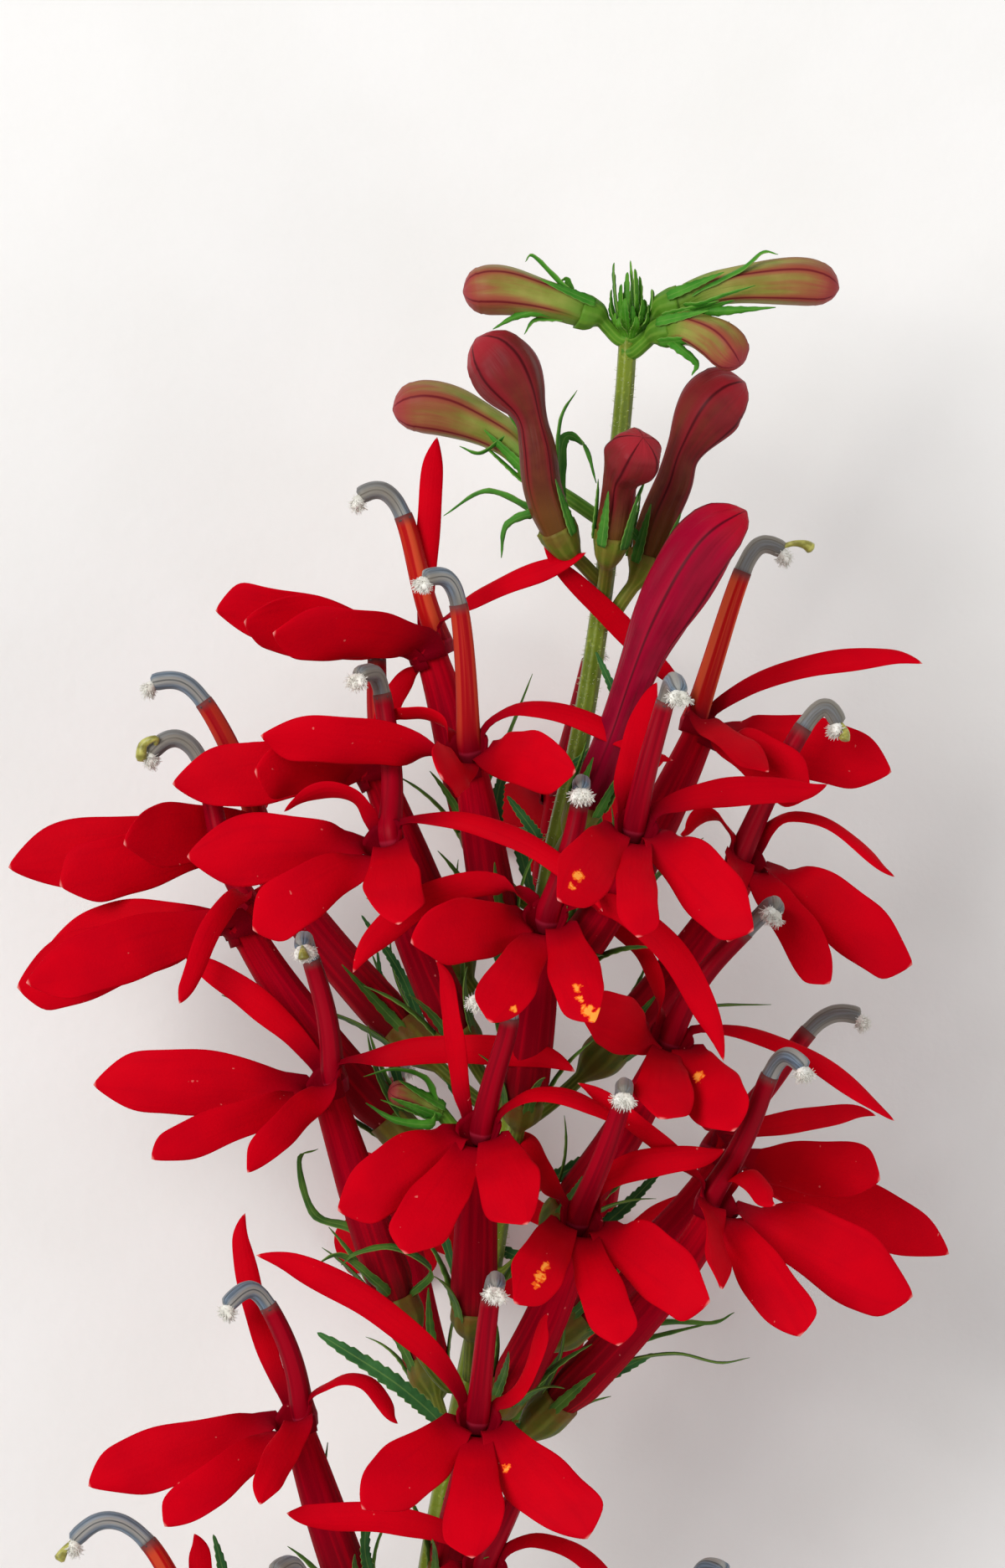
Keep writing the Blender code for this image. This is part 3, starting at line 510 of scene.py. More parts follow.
def leafy(name, skin_low, skin_high, rib, flush, leaf_low, leaf_high):
    """Leaf and ovary tissue: waxed green, dull at grazing light, mottled over 2 mm. Kind 0 is the
    cup, yellower, ribbed and flushed to its rim; kind 1 is blade, darker, with a pale midrib and a
    pale margin, which stands for glands along its teeth and for a painted highlight along its edge."""
    made, tree = material(name, 0.5, IOR=1.42, Specular_IOR_Level=0.14)
    place, _, along, out, sine, kind = parts(tree)
    mottle = noise(tree, place, 2, 4)
    pores = noise(tree, place, 0.67, 3)
    rosy = add(tree, "Math", (along, mottle), operation="MULTIPLY")
    cup = coats(
        tree, skin_low,
        (mottle, 0.3, 0.7, 1, skin_high),
        (spokes(tree, out, sine, CUP_RIBS, 4), 0, 1, 0.35, rib),
        (rosy, 0.2, 0.75, 0.8, flush))
    width = add(tree, "Math", (out,), operation="ABSOLUTE")
    leaf = coats(
        tree, leaf_low,
        (mottle, 0.3, 0.7, 1, leaf_high),
        (width, 0.14, 0.02, 0.35, "#7C9C4E"),
        # Pale margin: glands along the teeth, and a painted highlight along the edge.
        (width, 0.85, 1, 1, "#8CA854"))
    return finish(made, add(tree, "Mix", {0: kind, 6: cup, 7: leaf}, 2, data_type="RGBA"), pores, 0.08)


calyx_green = leafy("calyx_tissue", "#445416", "#5C6A1E", "#8C943E", "#6E2A18", "#345A22", "#4C7028")
for number, (throat, drop, *_) in enumerate(FLOWERS, 1):
    controls, out = middle_line(throat, drop)
    shares = np.linspace(0, CUP_TO, CUP_RINGS)
    stalk = bezier(controls, shares)
    stalk[0] = stalk[0] - out * FOOT_REACH
    swell = np.clip((shares - CUP_FROM) / (CUP_FULL - CUP_FROM), 0, 1)
    radii = PEDICEL_RADIUS + (CUP_RADIUS - PEDICEL_RADIUS) * np.sin(np.pi / 2 * swell) ** 1.2
    ribbed = CUP_RIB_RISE * swell * np.clip((CUP_TO - shares) / 0.04, 0, 1)
    radii = radii[:, None] * (1 + ribbed[:, None] * np.cos(CUP_RIBS * around(CUP_SIDES)))
    rim, way = stalk[-1], unit(stalk[-1] - stalk[-2])
    side = unit(np.cross(way, [0, 0, 1.0]))
    outwards = spun(side, np.cross(way, side), around(SEPALS, 0.3 * number))
    lean, stretch = rng.uniform((0.2, 0.8), (0.5, 1.05), (SEPALS, 2)).T[..., None]
    feet = rim + outwards * CUP_RADIUS * 0.88 - way * SEPAL_SINK
    bends = feet + way * SEPAL_LENGTH * 0.5 + outwards * 0.5
    tips = feet + unit(way + outwards * lean) * SEPAL_LENGTH * stretch + outwards * 0.6
    skins = [skin(*rod(stalk, radii, CUP_SIDES))]
    skins += sepals(rim, way, outwards, np.stack([feet, bends, tips], 1), CLEAR_SEPALS.get(number, ()),
                    CLEAR_SINK, CLEAR_REACH, SEPAL_WIDTH, SEPAL_RINGS)
    calyx = piece(f"calyx_{number:02d}_leafy", skins, [calyx_green])
    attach(calyx, "root")
    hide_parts(f"calyx_{number:02d}")

# ---- Red corollas ----
# Five petals grown into one crimson tube, free at the mouth as a lip of three broad lobes and two
# narrow wings. The tissue is thin, velvety and full of red sap.

# How far the tube starts inside the cup, as a share of the flower's middle line, and how far its
# five ridges rise, as a share of its radius.
TUBE_SINK, TUBE_RIDGE = 0.03, 0.035
# The mouth's radius, how far it slants, and the share along the tube where it begins to slant.
MOUTH_RADIUS, MOUTH_SLANT, SLANT_FROM = 1.9, 1.0, 0.75
# Radii of the tube by the share along it, and of the funnel in its mouth.
TUBE_PROFILE = (0, 1.25), (0.12, 1.95), (0.5, 1.75), (0.88, 1.35), (1, MOUTH_RADIUS)
FUNNEL_TOP, FUNNEL_END, FUNNEL_DEPTH = 1.65, 0.7, 2.4
TUBE_RINGS, TUBE_SIDES, FUNNEL_RINGS = 30, 30, 8
PETALS, PETAL_THICKNESS, PETAL_WAVE = 5, 0.28, 0.12
PETAL_RINGS, PETAL_SIDES = 36, 24
# How deep in the tube's wall a lobe begins, the share of the mouth's radius that it leaves at, the
# shares along it where it turns to its roll and is turned, and where a wing begins to hook.
LOBE_ROOT, LOBE_SEAT = 1.2, 0.95
TURN_FROM, TURN_TO, HOOK_FROM = 0.05, 0.35, 0.86
# The three lobes of the lip, then the two wings: the turn round the mouth in degrees, and the shares
# along the lobe where it is widest and where it begins to close.
LOBES = (62, 0.68, 0.8), (0, 0.8, 0.86), (-62, 0.68, 0.8), (130, 0.56, 0.74), (-130, 0.56, 0.74)
# A lip lobe's claw is a width in mm, and a wing's is a share of its widest.
LIP_CLAW, LIP_CUP = 2.4, -0.06
WING_CLAW, WING_CUP, WING_HOOK = 0.45, -0.15, 0.6
# Steps of the golden share keep the seeds of the lobes apart.
GOLDEN_SHARE = 0.618

# Where flecks of spent yellow tissue and bites show, by flower: (across, along, radius).
FLECKS = {
    7: ((6.2, -7.5, 0.42), (5.7, -8.35, 0.3)),
    10: ((0.9, -18.4, 0.28), (6.1, -16.7, 0.36), (6.3, -17.6, 0.3), (6.9, -18.5, 0.42), (7.5, -19.1, 0.4),
         (7.9, -18.6, 0.3)),
    12: ((16.2, -24.1, 0.42),),
    18: ((3.5, -39.6, 0.36), (3.1, -40.4, 0.4), (2.7, -41.1, 0.3)),
    21: ((0.3, -56.4, 0.36),),
    20: ((-26.3, -55.6, 0.2),),
}


def streaked(tree, grain, along, across, detail):
    """Streaks that run along a piece: noise of its grain, with so many to its length and many more
    to its width, which is one unit of the grain's second and third numbers."""
    lengthwise = add(tree, "VectorMath", (grain, (along, across, across)), operation="MULTIPLY")
    return add(tree, "TexNoise", {"Vector": lengthwise, "Scale": 1, "Detail": detail})


def petal_skin():
    """Petal tissue: upright cells make a velvet pile, so it is matt; red sap gives a deep crimson in
    clouds 4 mm wide. Veins run lengthwise, drawn 0.4 to 0.6 mm apart, and on the tube carry painted
    sheen streaks over painted shade between them. Painted shade darkens the tube's mouth, the throat
    and the lobes' bases, fading out along the lobes; each lobe ends in a pale point, sparse pale dots
    are painted glints with some pollen, and spent flecks are yellow."""
    made, tree = material(
        "petal_velvet", 0.6, IOR=1.36, Specular_IOR_Level=0.03,
        Sheen_Weight=0.015, Sheen_Roughness=0.4, Sheen_Tint=colour("#FF1A14"))
    place, grain, along, _, _, fleck = parts(tree)
    clouds = noise(tree, place, 3.8, 3)
    glints_and_pollen = noise(tree, place, 0.6, 1)
    crumbs = noise(tree, place, 0.38, 2)
    pile = noise(tree, place, 0.29, 2)
    veins = streaked(tree, grain, 1.6, 4.5, 2)
    tube = add(tree, "MapRange", (along, 0, -0.15, 0, 1))
    sheen_streaks = add(tree, "Math", (tube, veins), operation="MULTIPLY")
    groove_shade = add(tree, "Math", (tube, veins), operation="SUBTRACT")
    spent = add(tree, "Math", (crumbs, 0.9, fleck), operation="MULTIPLY_ADD")
    base = coats(
        tree, "#5E1A18",
        (along, -1, -0.8, 1, "#800A18"),
        (along, -0.8, -0.5, 1, "#98001A"),
        (along, -0.5, -0.1, 1, "#A80014"),
        # Painted shade: darker about the tube's mouth, in the funnel of the throat and on the lobes' bases,
        # brightening out along the lobes.
        (along, -0.1, -0.02, 1, "#6E0012"),
        (along, 0.05, 0.2, 1, "#9A0012"),
        (along, 0.15, 0.36, 1, "#BE0012"),
        (along, 0.36, 0.65, 1, "#C60014"),
        (clouds, 0.3, 0.75, 0.3, "#9C0014"),
        (veins, 0.5, 0.75, 0.12, "#8A0012"),
        # Painted shade in the grooves between the tube's veins, and painted sheen streaks along them.
        (groove_shade, 0.44, 0.66, 0.4, "#6E0010"),
        (sheen_streaks, 0.46, 0.7, 0.45, "#BE001A"),
        (along, 0.985, 1, 0.8, "#F09A92"),
        # Sparse pale dots: painted glints, with some pollen.
        (glints_and_pollen, 0.79, 0.82, 0.4, "#F08A80"),
        (spent, 1.02, 1.1, 1, "#F2601C"),
        (spent, 1.16, 1.26, 1, "#FFA040"))
    return finish(made, base, add(tree, "Math", (pile, 0.8, veins), operation="MULTIPLY_ADD"), 0.03)


def arc_shares(line):
    """How far along its own length each point of a line lies, from 0 to 1."""
    lengths = np.linalg.norm(np.diff(line, axis=0), axis=1).cumsum()
    return np.concatenate([[0], lengths]) / lengths[-1]


def outline(shares, claw, peak, shoulder):
    """Half width of a lobe as a share of its widest. It swells from its claw to its peak as a sine
    to a power, more wedge-like the later the peak, and closes from its shoulder as the distance left
    to the power 0.8. The lesser one holds, and inverse sixth powers round the corner between them."""
    swell = claw + (1 - claw) * np.sin(np.pi / 2 * np.clip(shares / peak, 0, 1)) ** (2.2 * peak)
    close = 0.01 + ((1 - shares) / (1 - shoulder)) ** 0.8
    return (swell**-6.0 + close**-6.0) ** (-1 / 6)


def flecked(rings, grain, number):
    """Puts into the grain's fourth number how near each point is, from above, to a fleck."""
    grain[..., 3] = 0
    for across, along, radius in FLECKS.get(number, ()):
        gap = np.hypot(rings[..., 0] - across, rings[..., 1] - along) / (1.3 * radius)
        grain[..., 3] = np.maximum(grain[..., 3], np.clip(1.25 - 0.7 * gap, 0, 1))
    return rings, grain


def lobe(rim, rise, radial, bend, tip, width, roll, claw, peak, shoulder, cup, seed, lean, hook):
    """One free lobe. Its middle line goes on from the tube's wall at the rim, turns out over it and
    follows the quadratic curve by bend to tip. At the rim it lies round the tube; further out its
    face turns to the roll by a smooth step, and its end may hook to one side by a square. Its edges
    weave by sines, and lean moves the widest part of one edge out and that of the other in."""
    reach = bezier((rim, bend, tip), (0.15, 0.35, 0.6, 0.8, 1.0))
    line = through([rim - rise * LOBE_ROOT - radial * 0.15, rim + rise * 0.1, *reach], 80)
    steps = np.linspace(0, 1, PETAL_RINGS)
    steps = 0.5 * steps + 0.5 * np.sin(steps * np.pi / 2)
    line = points_at(steps, arc_shares(line), line)
    chord = unit(tip - rim)
    side = unit(np.cross(chord, [0, 0, 1.0]))
    angle = math.radians(roll)
    side = side * math.cos(angle) + np.cross(side, chord) * math.sin(angle)
    round_tube = np.cross(radial, rise)
    round_tube = round_tube * (1 if round_tube @ side >= 0 else -1)
    turned = np.clip((steps - TURN_FROM) / (TURN_TO - TURN_FROM), 0, 1)
    turned = turned * turned * (3 - 2 * turned)
    side = unit(round_tube * (1 - turned[:, None]) + side * turned[:, None])
    line = line + side * hook * np.clip((steps[:, None] - HOOK_FROM) / (1 - HOOK_FROM), 0, 1) ** 2
    inward = -0.27 * np.sign(np.cross(round_tube, rise) @ radial)
    cups = (inward * (1 - turned) + cup * turned)[:, None]
    left = width / 2 * outline(steps, claw, peak + lean, shoulder + lean)
    right = width / 2 * outline(steps, claw, peak - lean, shoulder - lean)
    left = left * (1 + 0.04 * np.sin(2 * np.pi * (2.3 * steps + seed)))
    right = right * (1 + 0.04 * np.sin(2 * np.pi * (2.7 * steps - seed)))
    rings, grain = blade(line, (left, right), side, PETAL_THICKNESS, 0.0, cups, PETAL_WAVE, seed, PETAL_SIDES)
    grain[..., 0] = steps[:, None]
    return rings, grain


petal_red = petal_skin()
mouths = []
for number, (throat, drop, lip, wings, *_) in enumerate(FLOWERS, 1):
    controls, _ = middle_line(throat, drop)
    throat = controls[-1]
    line = bezier(controls, np.linspace(CUP_TO - TUBE_SINK, 1, TUBE_RINGS))
    rise = unit(line[-1] - line[-2])
    # The lip's lobes arch upwards, but down to the ground where they hang low.
    arch = [0, 0.4, 2.0 if throat[2] + lip[1][0][2] > 12 else -2.0]
    lobes = [(throat + np.array(tip) * 0.5 + arch, throat + tip, *rest) for tip, *rest in lip]
    hang = np.mean([bend - throat for bend, *_ in lobes], axis=0)
    lobes += [(throat + bend, throat + tip, *rest) for bend, tip, *rest in wings]
    belly = unit(hang - rise * (hang @ rise))
    flank = np.cross(rise, belly)

    # The tube, and the funnel that leads back down from its slanted mouth. Its share along runs from
    # -1 at the foot to 0 at the mouth, where the lobes go on from 0 to 1.
    shares = np.linspace(0, 1, TUBE_RINGS)
    depth = np.linspace(0, FUNNEL_DEPTH, FUNNEL_RINGS)[:, None]
    way = np.vstack([ways(line), np.repeat(rise[None], FUNNEL_RINGS, 0)])
    line = np.vstack([line, throat + rise * 0.05 - rise * depth])
    radii = np.concatenate([np.interp(shares, *zip(*TUBE_PROFILE)),
                            np.linspace(FUNNEL_TOP, FUNNEL_END, FUNNEL_RINGS)])
    turns = around(TUBE_SIDES)
    radii = radii[:, None] * (1 + TUBE_RIDGE * np.cos(PETALS * turns))
    side = unit(np.cross(way, [0.2, 0.1, 1.0]))
    rim = spun(side, np.cross(way, side), turns)
    slant = np.clip((shares - SLANT_FROM) / (1 - SLANT_FROM), 0, 1) ** 2
    slant = np.concatenate([slant, np.linspace(1, 0, FUNNEL_RINGS)])
    rings = line[:, None] + radii[..., None] * rim
    rings = rings - rise * (MOUTH_SLANT * slant[:, None] * (rim @ belly))[..., None]
    # The funnel's share along, 0.06, puts it in the painted shade of the throat.
    along = np.concatenate([np.linspace(-1, -0.06, TUBE_RINGS), np.full(FUNNEL_RINGS, 0.06)])[:, None]
    skins = [skin(*grained(rings, along, np.cos(turns), np.sin(turns) + 0.37 * number, 0))]

    # The five lobes, each from its own place on the rim. The hands say which way round they are set.
    lip_hand, wing_hand = (np.sign(flank @ (lobes[a][0] - lobes[b][0])) or 1.0 for a, b in ((0, 2), (3, 4)))
    for k, ((degrees, peak, shoulder), (bend, tip, width, roll, *skew)) in enumerate(zip(LOBES, lobes)):
        wing = k > 2
        angle = math.radians(degrees) * (wing_hand if wing else lip_hand)
        radial = belly * math.cos(angle) + flank * math.sin(angle)
        start = throat + radial * MOUTH_RADIUS * LOBE_SEAT - rise * MOUTH_SLANT * math.cos(angle)
        seed = GOLDEN_SHARE * (PETALS * number + k) % 1
        lean = skew[0] if skew else 0.07 * math.sin(17 * seed)
        if wing:
            hook = WING_HOOK * math.sin(40 * seed)
            form = WING_CLAW, peak, shoulder + 0.12 * seed, WING_CUP, seed, lean, hook
        else:
            form = LIP_CLAW / width, peak, shoulder, LIP_CUP, seed, lean, 0
        skins.append(skin(*flecked(*lobe(start, rise, radial, bend, tip, width, roll, *form), number)))
    corolla = piece(f"corolla_{number:02d}", skins, [petal_red])
    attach(corolla, "root")
    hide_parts(f"flower_{number:02d}")
    mouths.append((throat, rise, belly))

# ---- Filament columns and anther tubes ----
# The five filaments are grown into a red column that stands out of the throat, and the five anthers
# into a slate-grey tube that bends over at its end and carries a brush of white hairs.

COLUMN_RADIUS_FOOT, COLUMN_RADIUS_TOP = 1.14, 0.78
COLUMN_SETBACK, COLUMN_DEPTH = 1.25, 1.8
COLUMN_POINTS, COLUMN_SIDES, COLUMN_EASE = 121, 20, 10
# The column's narrowed foot: its share of the full radius, and the share along where it is full.
FOOT_SHARE, FOOT_END = 0.75, 0.13
ANTHERS, ANTHER_RADIUS, ANTHER_RINGS = 5, 0.7, 28
# Ridges of the filaments and seams between the anthers, as shares of their radii.
FILAMENT_RIDGE, SEAM_DEPTH = 0.04, 0.07
# Radii of the anther tube by the share along it, as shares of its own.
ANTHER_PROFILE = (0, 1.11), (0.12, 1.02), (0.5, 1.1), (0.9, 1.1), (0.97, 1.0), (1, 0.6)
TUFTS, TUFT_RADIUS, TUFT_RINGS, TUFT_SIDES = 3, 0.45, 14, 16
BRUSH_HAIRS, BRUSH_RADIUS = 260, 0.035
# How much painted glow, of light shining through the filament column, each flower gets: none where not
# listed.
THROUGH_LIGHT_GLOW = {1: 0.75, 2: 0.85, 3: 0.45, 4: 0.3, 6: 0.35, 23: 0.7}
# The open stigmas, by flower: the points each passes after the end of its anthers.
STIGMAS = {2: ((0.8, 0.6, 0.3), (1.8, 0.5, 0.2), (2.4, 0.1, 0)), 9: ((0.5, -0.6, 0.2), (0.4, -1.4, 0.4)),
           11: ((0.6, 1.3, 1.1), (-0.5, 0.8, 0.9), (-0.7, -0.6, 0.7)), 13: ((0, -0.4, 0.8), (0.1, -1, 1)),
           23: ((-0.6, -0.6, 0.1), (-1.2, -1.6, 0.2))}
STIGMA_NECK, STIGMA_PAD, STIGMA_END = 0.22, 0.5, 0.3
STIGMA_RINGS, STIGMA_SIDES = 14, 10


def rounded(line, reach, times):
    """The line with its corners eased: each point moved to the mean of those within reach, a few
    times over, while both ends stay."""
    for _ in range(times):
        padded = np.vstack([2 * line[0] - line[reach:0:-1], line, 2 * line[-1] - line[-2:-reach - 2:-1]])
        total = np.cumsum(np.vstack([np.zeros((1, 3)), padded]), axis=0)
        line = (total[2 * reach + 1:] - total[:-2 * reach - 1]) / (2 * reach + 1)
    return line


def filament_skin():
    """Filament tissue: smooth and juicy, red, where a flower asks for it with paler orange streaks
    painted as light shining through it, pinkish where the tube's edge meets it, darker at its foot
    with painted shade from the throat, and brown at the top, where it turns into anther."""
    made, tree = material("filament_tissue", 0.45, IOR=1.4, Specular_IOR_Level=0.08)
    _, grain, along, _, _, clear = parts(tree)
    streaks = streaked(tree, grain, 0.7, 1.6, 2)
    red = coats(tree, "#7C0014", (streaks, 0.36, 0.56, 1, "#980018"))
    pale = coats(tree, "#B4100C", (streaks, 0.42, 0.6, 1, "#D0502C"))
    # Painted light: the paler colour stands for light shining through the column, up to the share that its
    # grain's fourth number, clear, gives.
    glow_share = add(tree, "MapRange", (along, 0.15, 0.5, 0, clear), interpolation_type="SMOOTHSTEP")
    base = coats(
        tree, add(tree, "Mix", {0: glow_share, 6: red, 7: pale}, 2, data_type="RGBA"),
        (along, 0.94, 1, 1, "#6E3A38"),
        (along, 0.18, 0.15, 0.4, "#B8304A"),
        # Painted shade: the foot darkens where it goes down into the throat.
        (along, 0.16, 0.11, 0.6, "#74000F"))
    return finish(made, base, streaks, 0.06)


def anther_skin():
    """Anther wall: dry and papery, slate grey with a fine lengthwise grain, paler ridges and dark
    seams, faded brown on some flowers, and brown where the filament meets it."""
    made, tree = material("anther_wall", 0.5, IOR=1.45, Sheen_Weight=0.15)
    place, grain, along, cosine, sine, _ = parts(tree)
    streaks = streaked(tree, grain, 2, 5, 3)
    age = noise(tree, place, 14, 1)
    base = coats(
        tree, "#44525E",
        (streaks, 0.35, 0.65, 1, "#6A7C8E"),
        (spokes(tree, cosine, sine, 3, 2.5), 0, 1, 0.8, "#9C988E"),
        (spokes(tree, cosine, sine, ANTHERS, 40), 0, 1, 0.8, "#2A3134"),
        (age, 0.5, 0.58, 0.6, "#6E6454"),
        (along, 0.08, 0, 1, "#4A3C3C"))
    return finish(made, base, streaks, 0.1)


def stigma_skin():
    """Stigma: a soft moist pad of tissue, dull yellow-green with a grain 0.7 mm wide, browning."""
    made, tree = material("stigma_pad", 0.4, Sheen_Weight=0.1)
    place = add(tree, "TexCoord", output="Object")
    patches = noise(tree, place, 0.67, 3)
    return finish(made, coats(tree, "#7E7A2C", (patches, 0.35, 0.65, 1, "#B8B458")), patches, 0.1)


column_tissues = [filament_skin(), anther_skin(), hair_cell("anther_hair", "#D6D2C4", "#FAF8F0"),
                  stigma_skin()]
turns = around(COLUMN_SIDES)
for number, ((*_, stand, anthers), (throat, rise, belly)) in enumerate(zip(FLOWERS, mouths), 1):
    bend, top, over, end = (throat + place for place in stand + anthers)
    root = throat - belly * COLUMN_SETBACK
    path = through([root - rise * COLUMN_DEPTH, root, root + (bend - root) * 0.25, bend, top, over, end],
                   COLUMN_POINTS)
    path = rounded(path, COLUMN_EASE, 3)
    split = np.argmin(np.linalg.norm(path - top, axis=1))

    # The filaments run up to the split, and the anthers on from it.
    filament, anther = path[:split + 1][::2], path[split - 2:]
    shares = np.linspace(0, 1, len(filament))
    radii = (COLUMN_RADIUS_FOOT + (COLUMN_RADIUS_TOP - COLUMN_RADIUS_FOOT) * shares)[:, None]
    radii = radii * (1 + FILAMENT_RIDGE * np.cos(ANTHERS * turns))
    radii = radii * np.interp(shares, (0, FOOT_END), (FOOT_SHARE, 1))[:, None]
    skins = [skin(*rod(filament, radii, COLUMN_SIDES, THROUGH_LIGHT_GLOW.get(number, 0)))]
    anther = through(anther[np.linspace(0, len(anther) - 1, 12).astype(int)], ANTHER_RINGS)
    radii = ANTHER_RADIUS * np.interp(np.linspace(0, 1, ANTHER_RINGS), *zip(*ANTHER_PROFILE))
    radii = radii[:, None] * (1 - SEAM_DEPTH * np.abs(np.cos(ANTHERS / 2 * turns)) ** 6)
    skins.append(skin(*rod(anther, radii, COLUMN_SIDES)))
    finishes = [0, 1]
    way = ways(anther)[-1]
    if number in STIGMAS:
        reach = through([end - way * 0.5, *(end + place for place in STIGMAS[number])], STIGMA_RINGS)
        swell = np.sin(np.pi / 2 * np.linspace(0, 1, STIGMA_RINGS)) ** 3
        radii = STIGMA_NECK + (STIGMA_PAD - STIGMA_NECK) * swell
        radii[-1] = STIGMA_END
        skins.append(skin(*rod(reach, radii, STIGMA_SIDES)))
        finishes.append(3)

    # The brush: knobbly tufts that fan out from the end, and loose hairs that stand on them.
    inner = unit(np.cross(beside(path[split:]), way))
    across = np.cross(way, inner)
    foot = end - way * 0.2
    middles = []
    for k in range(TUFTS):
        angle = math.pi * (k / (TUFTS - 1) - 0.5)
        lean = inner * (0.75 + 0.35 * math.cos(angle)) + across * math.sin(angle) * 0.8
        tip = foot + lean * 0.9 + way * rng.uniform(0.7, 1.0)
        tuft = bezier((foot, foot + lean * 0.5 + way * 0.4, tip), np.linspace(0, 1, TUFT_RINGS))
        radii = np.sin(np.pi * np.linspace(0.08, 0.97, TUFT_RINGS)) ** 0.6 * TUFT_RADIUS
        knobs = 0.12 * np.sin(2.4 * np.arange(TUFT_RINGS)[:, None] + 4 * around(TUFT_SIDES) + k)
        skins.append(skin(*rod(tuft, radii[:, None] * (1 + knobs), TUFT_SIDES)))
        middles.append(tuft[8])
    spread = unit(rng.normal(size=(BRUSH_HAIRS, 3)))
    roots = np.array(middles)[rng.integers(0, TUFTS, BRUSH_HAIRS)] + spread * TUFT_RADIUS * 0.85
    stray = unit(rng.normal(size=(BRUSH_HAIRS, 3)))
    combed = unit(spread + 0.5 * (inner + way) + 0.5 * stray)
    tips = roots + combed * rng.uniform(0.2, 0.55, (BRUSH_HAIRS, 1))
    skins.append(skin(*hairs(roots, tips, (roots + tips) / 2 + way * 0.1, BRUSH_RADIUS, 3, 0.6)))
    finishes += [2] * (TUFTS + 1)
    column = piece(f"column_{number:02d}", skins, column_tissues, finishes)
    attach(column, "root")

# ---- Buds ----
# Closed flowers: the five petals still meet edge to edge along raised seams, on a tube that has
# yet to grow. The young are yellow-green with pink seams, the older red-brown, the last crimson.

BUD_RINGS, BUD_SIDES, BUD_RIB_RISE = 70, 30, 0.24
BUD_SEPAL_WIDTH, BUD_SEPAL_RINGS = 1.0, 26
# Each bud: how far along the stem it springs; the radii of its cup, tube, neck and head; the neck's
# share of its axis; how far it is crumpled; its age and slot; and its axis, from the foot of the
# cup, by the rim of the cup, to the tip. The last, a small late one, has no CAD solid.
BUDS = (
    (37.1, 1.5, 1.4, 1.5, 2.15, 0.2, 0, 0, "bud_green",
     ((7.9, 38.9, 35.2), (6.4, 39.4, 35.5), (4.5, 40.1, 36), (0, 41.1, 36.5), (-3.3, 40.9, 36.5))),
    (37.1, 1.5, 1.4, 1.4, 2.05, 0.2, 0, 0, "bud_green",
     ((13.2, 39.5, 35.3), (14.9, 40, 35.8), (18.2, 41.3, 36), (24.3, 41.8, 36), (28, 41.2, 36))),
    (36, 1.35, 1.25, 1.4, 1.85, 0.15, 0, 0, "bud_green",
     ((12.7, 37.4, 36.5), (14.1, 37.7, 37), (15.6, 37.8, 38), (18, 36.6, 40), (19.7, 34.7, 41))),
    (17, 1.62, 1.6, 1.2, 2.95, 0.56, 0.02, 1, "bud_red",
     ((5.4, 19.6, 37), (4.4, 21.4, 38), (3.3, 24.6, 39), (2.8, 28.3, 39.5), (1.9, 31.5, 39.5),
      (-0.2, 34.8, 39), (-2.2, 37, 39))),
    (22, 1.45, 1.4, 1.45, 2.3, 0.2, 0, 0, "bud_green",
     ((3.6, 25.2, 31), (2.4, 26.8, 30.5), (0.3, 28.9, 29.5), (-3.5, 30.8, 29), (-6.4, 31.5, 29),
      (-9.2, 31.3, 29))),
    (16, 1.5, 1.45, 1.4, 2.4, 0.52, 0.035, 1, "bud_green",
     ((8.8, 19, 38.5), (9.2, 20.8, 39.5), (9.6, 23.4, 40.5), (9.9, 25.4, 42), (10.8, 27, 43.5),
      (11.6, 28.6, 45))),
    (13.5, 1.62, 1.6, 1.35, 2.85, 0.56, 0.03, 1, "bud_red",
     ((11.6, 17.6, 34), (12.2, 19.2, 34.3), (13.1, 22.2, 35), (14.3, 25, 35.5), (15.2, 27.8, 36),
      (17.6, 31.5, 36), (20.2, 33.4, 36))),
    (-6, 1.6, 1.6, 1.5, 2.75, 0.35, 0.05, 2, "bud_red",
     ((6, -3.5, 36), (7.2, -1.2, 38), (9.2, 3.6, 39.5), (11.3, 9.6, 40.5), (13.2, 14, 41),
      (16.6, 19.6, 41.5), (20.2, 22.6, 42))),
    (-33, 0.75, 0.75, 0.8, 1.1, 0.2, 0, 0, "bud_green",
     ((-5.2, -27.4, 31), (-5.9, -27, 31.5), (-7, -26.5, 32), (-8.2, -25.9, 32.5), (-9.5, -25.6, 33))),
)

